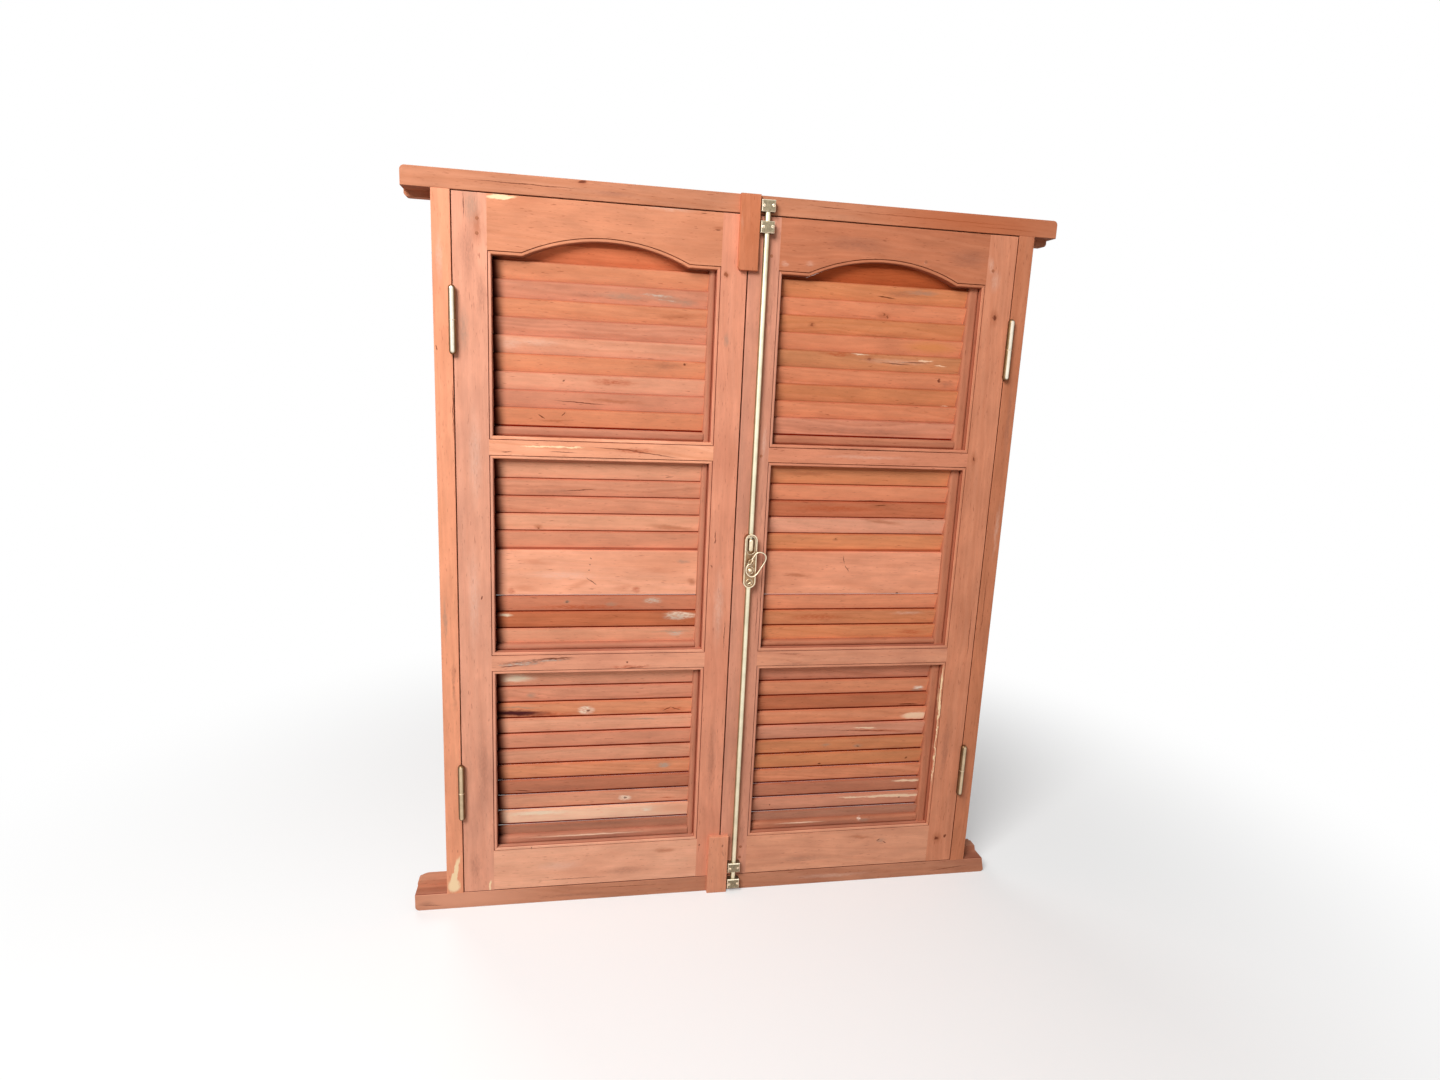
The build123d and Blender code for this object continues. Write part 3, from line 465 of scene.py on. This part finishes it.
def slats(name, seed, runs_of_slats, left_end, light, tones, marks):
    """Material of one panel of slats, each slat with its own two tones and its own grain.

    A slat's number is the count of sloping planes, one pitch apart, between its middle and
    the first slat's: minus the distance along the slats' normal, over the pitch along it.
    Light is painted light that tints each panel, more in the middle and lower ones. A mark is as on
    a board, with its slat's number.
    """
    normal = (0, math.cos(slat_slope), math.sin(slat_slope))
    upward = (0, -math.sin(slat_slope), math.cos(slat_slope))
    material, tree = new_material(name)
    coordinates = add_node(tree, "TexCoord").outputs
    place = coordinates["Object"]
    axes = add_node(tree, "SeparateXYZ", {}, {0: place}).outputs
    away, rise = (add_node(tree, "VectorMath", {"operation": "DOT_PRODUCT"},
                           {0: place, 1: direction}).outputs["Value"]
                  for direction in (normal, upward))
    number = slot_height = None
    for first, pitch, start, below in runs_of_slats:
        centre = (0, slat_middle_y / 1000, (first - slat_half_rise) / 1000)
        step = pitch / 1000 * normal[2]
        base = normal[1] * centre[1] + normal[2] * centre[2]
        count = add_node(tree, "Math", {"operation": "MULTIPLY_ADD"},
                         {0: away, 1: -1 / step, 2: 0.5 + base / step})
        count = add_node(tree, "Math", {"operation": "FLOOR"}, {0: count})
        lift = add_node(tree, "Math", {"operation": "MULTIPLY_ADD"},
                        {0: count, 1: pitch / 1000 * upward[2], 2: rise})
        foot = upward[1] * centre[1] + upward[2] * centre[2]
        lift = add_node(tree, "Math", {"operation": "SUBTRACT"}, {0: lift, 1: foot}).outputs[0]
        count = add_node(tree, "Math", {"operation": "ADD"}, {0: count, 1: start}).outputs[0]
        if number is None:
            number, slot_height = count, lift
        else:
            under = add_node(tree, "Math", {"operation": "LESS_THAN"},
                             {0: axes[2], 1: below / 1000})
            number = add_node(tree, "Mix", {"data_type": "FLOAT"},
                              {0: under, 2: number, 3: count}).outputs[0]
            slot_height = add_node(tree, "Mix", {"data_type": "FLOAT"},
                                   {0: under, 2: slot_height, 3: lift}).outputs[0]
    share = add_node(tree, "Math", {"operation": "MULTIPLY_ADD"},
                     {0: number, 1: 1 / len(tones), 2: 0.5 / len(tones)}).outputs[0]
    pair = []
    for which in (0, 1):
        ramp = add_node(tree, "ValToRGB", {}, {0: share})
        ramp.color_ramp.interpolation = "CONSTANT"
        stops = ramp.color_ramp.elements
        for i, tone in enumerate(tones):
            stop = stops[i] if i < 2 else stops.new(i / len(tones))
            stop.position = i / len(tones)
            stop.color = linear(slat_tones[tone][which])
        pair.append(ramp.outputs[0])
    # every slat takes its grain from another part of the log, and its figure by chance
    shift = add_node(tree, "Math", {"operation": "MULTIPLY_ADD"},
                     {0: number, 1: 0.37, 2: seed * 1.7})
    along = add_node(tree, "Math", {"operation": "ADD"}, {0: axes[0], 1: shift})
    grain = add_node(tree, "CombineXYZ", {}, {0: axes[2], 1: axes[1], 2: along}).outputs[0]
    chance = add_node(tree, "TexWhiteNoise", {"noise_dimensions": "1D"}, {"W": shift})
    figure = add_node(tree, "MapRange", {}, {"Value": chance.outputs["Value"], 3: 0.15, 4: 0.8})
    colour, height = wood_grain(tree, grain, pair[0], pair[1], figure.outputs[0])
    ragged, fine, broken = rough_edges(tree, grain, place)
    outlines = []
    for outline in (ragged, fine):
        outline = add_node(tree, "SeparateXYZ", {}, {0: outline}).outputs
        outlines += add_node(tree, "CombineXYZ", {},
                             {0: outline[0], 1: number, 2: outline[2]}).outputs
    plain = colour
    for kind, slat, x, z, half_x, half_z, turn in marks:
        # the slat's number stands for Y, so a mark that reaches 0.9 of it stays on its own slat
        colour = blemish(tree, colour, outlines[kind == "crack"], broken, kind,
                         (x / 1000, slat, z / 1000), (half_x / 1000, 0.9, half_z / 1000), turn)
    # the marks are on the front of the slats, and their backs are plain
    facing = add_node(tree, "VectorMath", {"operation": "DOT_PRODUCT"},
                      {0: coordinates["Normal"], 1: (0, -1, 0)})
    front = add_node(tree, "Math", {"operation": "GREATER_THAN"},
                     {0: facing.outputs["Value"], 1: -0.5})
    colour = add_node(tree, "Mix", mixed, {0: front, 6: plain, 7: colour}).outputs[2]
    # painted light: the whole panel's tint
    colour = add_node(tree, "VectorMath", {"operation": "MULTIPLY"},
                      {0: colour, 1: light}).outputs[0]
    # painted shade darkens the upper arris, which the lamp lights from above, and painted shade
    # fills the gap over the next slat
    arris_shade = add_node(tree, "MapRange", eased,
                    {"Value": slot_height, 1: 0.0162, 2: 0.0176, 3: 0.0, 4: 0.5})
    colour = add_node(tree, "Mix", multiplied,
                      {0: arris_shade, 6: colour, 7: linear("#A87864")}).outputs[2]
    # painted shade in the gap over the next slat
    gap_shade = add_node(tree, "MapRange", eased,
                    {"Value": slot_height, 1: -0.0120, 2: -0.0148, 3: 0.0, 4: 1.0})
    if len(runs_of_slats) > 1:  # the slat over the flat board has no gap under it
        over_board = add_node(tree, "Math", {"operation": "COMPARE"},
                              {0: number, 1: runs_of_slats[1][2] - 1, 2: 0.5})
        gap_shade = add_node(tree, "Math", {"operation": "MULTIPLY_ADD"},
                        {0: over_board, 1: -0.4, 2: gap_shade})
        gap_shade = add_node(tree, "Math", {"operation": "MAXIMUM"}, {0: gap_shade, 1: 0.0})
    colour = add_node(tree, "Mix", multiplied,
                      {0: gap_shade, 6: colour, 7: linear("#8A3418")}).outputs[2]
    colour = shaded_end(tree, axes[0], colour, left_end)
    planed_finish(tree, colour, height, 0.0)
    return material


# runs of evenly spaced slats: the first one's top, the pitch, its number, and the Z it starts under
lower_run = ((487.5, 32.4, 0, 0),)
middle_run = ((893.2, 32.6, 0, 0), (638.6, 32.6, 5, 700))
upper_run = ((1273.6, 31.6, 0, 0),)
slat_panels = {
    "left_upper_slats": slats("slat_wood_1", 1, upper_run, -452.9, (1.15, 1.19, 1.17), (
        "bright", "orange", "rose", "orange", "rose", "pink", "orange", "pink", "rose", "orange"), (
        ("grey", 2, -226, 1194, 60, 9, 2), ("grime", 2, -290, 1193, 46, 8, 0),
        ("grey", 2, -150, 1194, 50, 10, 4), ("putty", 2, -166, 1199, 40, 2.4, 3),
        ("putty", 2, -150, 1192, 34, 1.8, 3), ("grey", 2, -110, 1190, 26, 8, 0),
        ("scuff", 5, -424, 1102, 30, 14, 0), ("scuff", 5, -380, 1106, 60, 9, 0),
        ("grime", 6, -142, 1076, 36, 10, 0), ("knot", 6, -112, 1079, 3, 3, 0),
        ("red", 7, -240, 1042, 60, 8, 0), ("knot", 7, -330, 1040, 2, 2, 0),
        ("crack", 8, -300, 1003, 60, 1.0, 3), ("halo", 8, -240, 1008, 80, 5, 2),
        ("crack", 9, -369, 976, 9, 1.6, 30), ("crack", 9, -330, 981, 6, 1.2, -50),
        ("halo", 9, -345, 969, 40, 3, 0), ("halo", 3, -130, 1164, 50, 8, 0))),
    "left_middle_slats": slats("slat_wood_2", 2, middle_run, -452.9, (1.24, 1.34, 1.3), (
        "pink", "rose", "rose", "pink", "rose", "ruddy", "red", "tan"), (
        ("knot", 3, -374, 769, 3, 2.5, 0), ("halo", 3, -374, 772, 12, 7, 0),
        ("grime", 1, -350, 838, 80, 8, 0), ("crack", 1, -300, 842, 40, 0.9, -4),
        ("halo", 3, -120, 772, 70, 8, 6), ("crack", 0, -132, 870, 10, 1, -8),
        ("putty", 5, -158, 629, 26, 9, 0), ("grey", 5, -237, 621, 16, 8, 0),
        ("knot", 5, -322, 627, 4, 4, 0), ("grey", 5, -322, 627, 9, 7, 0),
        ("filler", 6, -100, 600, 40, 9, 4), ("putty", 6, -110, 596, 34, 10, 0),
        ("white", 6, -436, 602, 20, 5, 0), ("putty", 7, -110, 562, 22, 8, 0),
        ("grey", 7, -120, 566, 50, 4, 0), ("red", 5, -300, 615, 150, 8, 0))),
    "left_lower_slats": slats("slat_wood_3", 3, lower_run, -452.9, (1.24, 1.36, 1.36), (
        "tan", "rose", "orange", "pink", "rose", "tan", "orange", "brown", "tan", "pale",
        "strip"), (
        ("white", 0, -412, 475, 42, 11, 3), ("white", 0, -424, 470, 26, 7, 2),
        ("grey", 1, -388, 438, 14, 9, 0), ("red", 2, -370, 397, 120, 12, 4),
        ("burn", 2, -420, 402, 86, 9.5, 3), ("grey", 2, -412, 415, 56, 3.5, 3),
        ("filler", 2, -282, 404, 20, 13, 0), ("knot", 2, -278, 403, 5, 2, -30),
        ("red", 2, -112, 401, 40, 9, 0), ("crack", 2, -104, 402, 16, 1.2, 20),
        ("crack", 2, -122, 402, 12, 1.2, -30), ("grey", 3, -166, 384, 34, 4, 0),
        ("putty", 6, -125, 281, 15, 9, 0), ("grey", 6, -125, 281, 22, 10, 0),
        ("crack", 7, -403, 236, 22, 1.4, 8), ("grime", 7, -330, 240, 120, 10, 0),
        ("filler", 8, -203, 212, 17, 9, 0), ("knot", 8, -203, 212, 5, 3, 20),
        ("red", 8, -115, 206, 22, 3, 0), ("filler", 9, -155, 185, 16, 8, 0),
        # slat 9's pale tone and this long white mark are partly a painted sheen
        ("rose_end", 9, -90, 186, 90, 26, 0), ("white", 9, -372, 189, 80, 7, 1),
        ("grime", 10, -250, 160, 200, 9, 0))),
    "right_upper_slats": slats("slat_wood_4", 4, upper_run, 59.9, (1.16, 1.2, 1.18), (
        "deep", "ochre", "coral", "ochre", "coral", "figured", "coral", "amber", "coral", "rose"), (
        ("grime", 1, 300, 1229, 60, 8, 2), ("crack", 1, 270, 1222, 24, 1.4, 4),
        ("grey", 1, 340, 1234, 50, 6, 0), ("knot", 2, 268, 1190, 3, 3, 0),
        ("knot", 2, 276, 1186, 2, 3, 0), ("halo", 2, 268, 1188, 20, 8, 0),
        ("crack", 2, 365, 1180, 10, 1.2, 0), ("knot", 3, 127, 1164, 3, 4, 20),
        ("halo", 3, 127, 1164, 10, 8, 0), ("halo", 3, 260, 1150, 60, 4, 0),
        ("ochre_end", 4, 370, 1134, 80, 16, 0), ("knot", 5, 245, 1107, 5, 3.5, 0),
        ("halo", 5, 245, 1107, 16, 8, 0), ("white", 5, 224, 1114, 24, 2, 3),
        ("scuff", 5, 300, 1104, 90, 8, 0), ("red", 5, 180, 1112, 50, 5, 0),
        ("pale_end", 5, 359, 1108, 18, 2.2, 0), ("pale_end", 5, 392, 1100, 16, 1.8, 0),
        ("crack", 5, 300, 1100, 40, 1.0, 2), ("crack", 5, 340, 1104, 40, 1.0, -2),
        ("knot", 6, 392, 1072, 5, 4, 40), ("grime", 6, 410, 1066, 26, 9, 0),
        ("pale_end", 6, 104, 1051, 48, 2.4, 1), ("pale_end", 7, 412, 1021, 20, 3.6, 1),
        ("grime", 9, 250, 968, 180, 8, 0))),
    "right_middle_slats": slats("slat_wood_5", 5, middle_run, 59.9, (1.26, 1.37, 1.42), (
        "ochre", "coral", "red", "tan", "ochre", "coral", "amber", "ochre"), (
        ("halo", 2, 292, 822, 34, 5, -2), ("crack", 2, 292, 823, 14, 1.3, -2),
        ("red", 2, 200, 815, 130, 9, 0), ("crack", 1, 275, 831, 40, 1.0, 0),
        ("knot", 4, 205, 755, 3, 2, 0), ("halo", 4, 205, 753, 9, 5, 0),
        ("halo", 0, 140, 883, 60, 6, 0), ("red", 7, 380, 558, 40, 9, 0),
        ("red", 6, 180, 592, 90, 10, 0), ("scuff", 6, 370, 600, 50, 5, 0),
        ("halo", 3, 300, 790, 60, 6, 6))),
    "right_lower_slats": slats("slat_wood_6", 6, lower_run, 59.9, (1.21, 1.38, 1.43), (
        "ruddy", "coral", "red", "coral", "rose", "amber", "ochre", "coral", "brown", "rose",
        "strip"), (
        ("filler", 1, 413, 434, 15, 5, 0), ("grey", 1, 410, 427, 18, 8, 0),
        ("crack", 2, 395, 396, 30, 2, 2), ("pale_end", 3, 415, 370, 42, 11, 0),
        ("red", 4, 340, 338, 90, 5, 3), ("pale_end", 4, 300, 347, 30, 2.5, 2),
        ("crack", 4, 300, 340, 90, 1.0, 3), ("grey", 5, 288, 306, 15, 6, 0),
        ("grey", 5, 217, 312, 15, 6, 0), ("knot", 5, 290, 305, 4, 1.5, 0),
        ("knot", 6, 207, 267, 4, 2.5, 0), ("knot", 6, 398, 274, 2.5, 3, 0),
        ("pale_end", 8, 404, 222, 38, 4.2, 1), ("pale_end", 9, 385, 187, 80, 5, 2),
        ("pale_end", 9, 300, 188, 60, 2.4, 2), ("knot", 9, 392, 182, 4, 2, 0),
        ("knot", 9, 104, 179, 1.5, 2.5, 0))),
}
for node, material in slat_panels.items():
    dress(node, material)

# The planted blocks that cover the joint between the leaves, top and bottom: planed hardwood,
# nailed to the left meeting stile and to the head or sill.
block_boards = {
    "top_meeting_block": board("block_wood_1", "Z", 24, "#D38561", "#C47450", "#B0633C", (
        ("halo", -8, 1300, 10, 30, 0), ("scuff", -20, 1330, 4, 40, 0))),
    "bottom_meeting_block": board("block_wood_2", "Z", 25, "#EBA484", "#D88D6A", "#C17860", (
        ("crack", 2, 90, 1.2, 14, -16), ("knot", 0, 108, 4, 5, 0), ("grime", -12, 40, 10, 30, 0),
        ("knot", -24, 105, 1.6, 1.6, 0))),
}
for node, material in block_boards.items():
    dress(node, material)

# The hinges: lift-off hinges of brass, two to a leaf, their flaps let into the wood. The lower
# knuckle is on the jamb and carries the pin, the upper is on the leaf, and a polished washer
# lies between them.


def brass(name, bright, dull, grain_size, cast, roughness, rubbed, band=None):
    """Unlacquered brass, toned by air, and still bright where hands and cloths rub it.

    Grain_size is the width of its clouds of tarnish in metres, and cast is how pitted it is.
    Rubbed is "edges" for castings, "rim" for the case, or "front" for round bars. Those are bright
    over a band, given by the cosine of the turn from the front at its two ends: a band of wear that
    is also a painted highlight.
    """
    material, tree = new_material(name)
    at = add_node(tree, "TexCoord").outputs
    place = at["Object"]
    patch = add_node(tree, "TexNoise", {}, {"Vector": place, "Scale": 1 / grain_size,
                                            "Detail": 4.0, "Roughness": 0.65})
    if rubbed == "front":
        # wear and a painted highlight, where a round bar faces the front
        facing = add_node(tree, "VectorMath", {"operation": "DOT_PRODUCT"},
                          {0: at["Normal"], 1: (0, -1, 0)})
        worn_and_highlit = add_node(tree, "MapRange", eased,
                         {"Value": facing.outputs["Value"], 1: band[0], 2: band[1]})
    elif rubbed == "edges":
        # a flat faces along one axis, and an edge between two of them
        sides = add_node(tree, "VectorMath", {"operation": "ABSOLUTE"}, {0: at["Normal"]})
        sides = add_node(tree, "SeparateXYZ", {}, {0: sides}).outputs
        most = add_node(tree, "Math", {"operation": "MAXIMUM"}, {0: sides[0], 1: sides[1]})
        most = add_node(tree, "Math", {"operation": "MAXIMUM"}, {0: most, 1: sides[2]})
        worn_and_highlit = add_node(tree, "MapRange", {}, {"Value": most, 1: 0.97, 2: 0.85})
    else:
        # the rim and what else stands before the plate
        depth = add_node(tree, "SeparateXYZ", {}, {0: place}).outputs[1]
        worn_and_highlit = add_node(tree, "MapRange", eased, {"Value": depth, 1: -0.0464, 2: -0.0474})
    share = add_node(tree, "MapRange", {}, {"Value": patch.outputs["Fac"], 1: 0.3, 2: 0.7,
                                            3: 1.0, 4: 0.6})
    worn_and_highlit = add_node(tree, "Math", {"operation": "MULTIPLY"}, {0: worn_and_highlit, 1: share})
    tarnish = add_node(tree, "MapRange", {}, {"Value": patch.outputs["Fac"], 1: 0.4, 2: 0.6,
                                              3: 1.0, 4: 0.7})
    toned = add_node(tree, "VectorMath", {"operation": "SCALE"},
                     {0: linear(dull)[:3], "Scale": tarnish})
    colour = add_node(tree, "Mix", mixed, {0: worn_and_highlit, 6: toned, 7: linear(bright)})
    rough = add_node(tree, "MapRange", {}, {"Value": patch.outputs["Fac"], 1: 0.3, 2: 0.7,
                                            3: roughness, 4: roughness + 0.15})
    # pits of sand casting, 1.4 mm wide
    pits = add_node(tree, "TexNoise", {}, {"Vector": place, "Scale": 700.0, "Detail": 2.0})
    relief = add_node(tree, "Bump", {}, {"Height": pits.outputs["Fac"], "Strength": cast,
                                         "Distance": 0.0004})
    shader = add_node(tree, "BsdfPrincipled", {},
                      {"Base Color": colour.outputs[2], "Metallic": 1.0,
                       "Roughness": rough, "Normal": relief})
    add_node(tree, "OutputMaterial", {}, {"Surface": shader})
    return material


# turned knuckles: smooth, with a narrow painted highlight in front that is also wear, and brown
# with tarnish at the sides
hinge_brass = brass("hinge_brass", "#F4EAD8", "#8A6E4C", 0.03, 0.05, 0.34, "front", (0.78, 0.97))
# the lower ones are rubbed less, so they are browner and a little rougher
dull_hinge_brass = brass("dull_hinge_brass", "#DCC4A2", "#7C5E42", 0.03, 0.05, 0.38, "front",
                         (0.8, 0.98))
# polished brass of the washers, of the castings' screws and of the handle: yellow and smoothest,
# with a wide painted highlight in front
handle_brass = brass("handle_brass", "#F8E8CC", "#B89470", 0.02, 0.1, 0.3, "front", (0.6, 0.95))
for side in ("left", "right"):
    for level, finish in (("lower", dull_hinge_brass), ("upper", hinge_brass)):
        for half in ("jamb", "leaf"):
            dress(f"{side}_{level}_hinge_{half}_half", finish)
hinge_x, hinge_y, hinge_heights = 517.8, -39.4, (253.0, 1136.0)
washer_radius, washer_edge = 6.0, 0.75
# a washer is a circle of the edge's radius, carried round the pin on the washer's radius
turn = np.linspace(0, math.tau, 40, endpoint=False)[:, None]
lap = np.linspace(0, math.tau, 10, endpoint=False)[None]
reach = washer_radius + washer_edge * np.cos(lap)
lift = washer_edge * np.sin(lap) * np.ones_like(turn)
washers = [(np.stack([x + reach * np.cos(turn), hinge_y + reach * np.sin(turn), z + lift],
                     axis=-1), False)
           for x in (-hinge_x, hinge_x) for z in hinge_heights]
add_piece("hinge_washers", washers, handle_brass)

# The bolt's two rods, drawn brass bars that run up and down the right meeting stile, with the
# cast guides that hold them to the stile and the cast keepers on the head and the sill. Each
# casting has two round-headed screws.

# drawn bar: even and a little matt, with long clouds and a wide band in front that is wear and a
# painted highlight
drawn_brass = brass("drawn_brass", "#F6EED2", "#B8A67C", 0.05, 0.05, 0.38, "front", (0.55, 0.93))
# sand cast: a pitted skin with small clouds, greyer, and bright only on its edges
cast_brass = brass("cast_brass", "#EEE2C8", "#9C8E74", 0.004, 0.8, 0.42, "edges")
for node in ("lower_rod", "upper_rod"):
    dress(node, drawn_brass)
for node in ("rod_guides", "rod_keepers"):
    dress(node, cast_brass)
bolt_x, casting_front, casting_heights = 25.5, -47.0, (21.0, 57.5, 1325.5, 1361.5)
screw_offset, out_of_level = 8.6, 0.6
heads = []
for i, z in enumerate(casting_heights):
    for side in (-1, 1):
        # no two slots are turned the same way
        heads.append(screw_head(bolt_x + side * screw_offset, casting_front,
                                z + side * out_of_level, radius=2.9, rise=1.1,
                                turn=25 + 50 * i + 30 * side, slot=1.1))
add_piece("casting_screws", heads, handle_brass)

# The bolt's case and handle: a long cast plate with a raised rim, screwed to the right meeting
# stile over the rods' ends, and a bent wire loop on a spindle. Thin beads ring the window, the
# knob and the rosette.


def ring_bead(path, seat, thickness):
    """A round wire along a closed flat path (n, 2) in X and Z: a circle swept along its line."""
    along = np.roll(path, -1, axis=0) - np.roll(path, 1, axis=0)
    along /= np.linalg.norm(along, axis=1, keepdims=True)
    side = np.stack([along[:, 1], -along[:, 0]], axis=1)
    angle = np.linspace(0, math.tau, 12, endpoint=False)
    out = thickness * np.cos(angle)[None, :, None] * side[:, None]
    flat = path[:, None] + out
    depth = seat - thickness * np.sin(angle)[None] * np.ones((len(path), 1))
    return np.stack([flat[..., 0], depth, flat[..., 1]], axis=-1), False


def long_round(width, height, x, z):
    """Points round a slot shape: two half circles joined by straight sides, evenly by angle."""
    angle = np.linspace(0, math.tau, 96, endpoint=False)
    radius = width / 2
    straight = np.sign(np.sin(angle)) * (height / 2 - radius)
    return np.stack([x + radius * np.cos(angle), z + radius * np.sin(angle) + straight], axis=1)


# cast and filed: pinkish brown in the field, and polished by hands on what stands over it
case_brass = brass("case_brass", "#FAEACA", "#AE8C6A", 0.006, 0.4, 0.36, "rim")
# turned screws: brown faces, and bright edges at the rim and along the slot
trim_brass = brass("trim_brass", "#EAD6B4", "#947454", 0.006, 0.3, 0.36, "edges")
dress("bolt_case", case_brass)
dress("bolt_handle", handle_brass)
case_z, bead_y, rosette_front, spindle_front = 715.0, -46.1, -48.0, -55.0
window_z, knob_z, rosette_z = case_z + 31, case_z - 18, case_z - 42
# a bead is the width and height of its path, the middle of it, and the radius of its wire
beads = ((16.2, 35.2, window_z, 0.8), (14.6, 14.6, knob_z, 0.8), (12.4, 12.4, rosette_z, 0.7))
trim = [ring_bead(long_round(width, height, bolt_x, z), bead_y, wire)
        for width, height, z, wire in beads]
add_piece("case_beads", trim, handle_brass)
rosette_screw = screw_head(bolt_x, rosette_front, rosette_z, radius=4.2, rise=0.8, turn=40,
                           slot=1.4)
spindle_screw = screw_head(bolt_x, spindle_front, case_z, radius=5.0, rise=0.9, turn=60, slot=1.5)
add_piece("case_screws", [rosette_screw, spindle_screw], trim_brass)

# The plain floor, a matt white that turns into the white round about it away from the object.
# It is staging, and no piece of the window.


def seen_directly(tree):
    """One for what the eye, gloss or clear matter shows, and nought for light that bounces."""
    path = add_node(tree, "LightPath").outputs
    seen = add_node(tree, "Math", {"operation": "MAXIMUM"},
                    {0: path["Is Camera Ray"], 1: path["Is Glossy Ray"]})
    return add_node(tree, "Math", {"operation": "MAXIMUM"},
                    {0: seen, 1: path["Is Transmission Ray"]}).outputs[0]


floor_reach = 12.0
floor_mesh = bpy.data.meshes.new("floor")
corners = np.array([(-1, -1, 0), (1, -1, 0), (1, 1, 0), (-1, 1, 0)]) * floor_reach
floor_mesh.from_pydata(corners.tolist(), [], [(0, 1, 2, 3)])
floor = bpy.data.objects.new("floor", floor_mesh)
bpy.context.collection.objects.link(floor)
paper, tree = new_material("white_floor")
place = add_node(tree, "TexCoord").outputs["Object"]
away = add_node(tree, "VectorMath", {"operation": "LENGTH"}, {0: place})
far = add_node(tree, "MapRange", eased,
               {"Value": away.outputs["Value"], 1: 0.7, 2: 1.8, 3: 0.3, 4: 1.0})
seen = seen_directly(tree)
# light that bounces from the floor to the object is that of a grey floor
tone = add_node(tree, "Mix", mixed, {0: seen, 6: linear("#B4ACA6"), 7: linear("#FBFAF9")})
matt = add_node(tree, "BsdfDiffuse", {}, {"Color": tone.outputs[2]})
glow = add_node(tree, "Emission", {}, {"Color": (1, 1, 1, 1), "Strength": 1.0})
share = add_node(tree, "Math", {"operation": "MULTIPLY"}, {0: far, 1: seen})
both = add_node(tree, "MixShader", {}, {0: share, 1: matt, 2: glow})
add_node(tree, "OutputMaterial", {}, {"Surface": both})
floor_mesh.materials.append(paper)

# White all round for the eye and for gloss, and a weak even light for everything else. The key
# lamp stands high in front at the left, with a weak one at the right and one behind.
world = bpy.data.worlds.new("studio")
bpy.context.scene.world = world
world.use_nodes = True
tree = world.node_tree
tree.nodes.clear()
level = add_node(tree, "MapRange", {}, {"Value": seen_directly(tree), 3: 0.2, 4: 1.0})
sky = add_node(tree, "Background", {}, {"Color": (1, 1, 1, 1), "Strength": level})
add_node(tree, "OutputWorld", {}, {"Surface": sky})


def soft_lamp(name, place, aim, size, power):
    """A square white studio lamp at a place, turned towards its aim."""
    data = bpy.data.lights.new(name, "AREA")
    data.size = size
    data.energy = power
    lamp = bpy.data.objects.new(name, data)
    bpy.context.collection.objects.link(lamp)
    lamp.location = place
    away = np.array(place) - np.array(aim)
    lamp.rotation_euler = (math.acos(away[2] / np.linalg.norm(away)), 0,
                           math.atan2(away[1], away[0]) + math.pi / 2)


soft_lamp("key", (-1.75, -2.35, 3.0), (-0.05, 0, 0.75), 1.5, 145)
soft_lamp("fill", (1.6, -3.4, 1.2), (0.2, 0, 0.7), 2.4, 8)
soft_lamp("rear", (-1.8, 3.6, 3.4), (0, 0, 0.7), 2.0, 45)

# The camera stands close in front, left of the middle and a little over a metre up, and is held
# a little askew. Its wide lens gives the window's lines their slant.
camera_data = bpy.data.cameras.new("camera")
camera_data.sensor_width = 36
camera_data.lens = 20.316
camera = bpy.data.objects.new("camera", camera_data)
bpy.context.collection.objects.link(camera)
camera.matrix_world = (Matrix.Translation((-0.3142, -1.5368, 1.0623))
                       @ Matrix.Rotation(-0.1848, 4, "Z") @ Matrix.Rotation(-0.1991, 4, "X")
                       @ Matrix.Rotation(-0.0455, 4, "Y") @ Matrix.Rotation(math.pi / 2, 4, "X"))
bpy.context.scene.camera = camera
bpy.context.scene.view_settings.view_transform = "Standard"
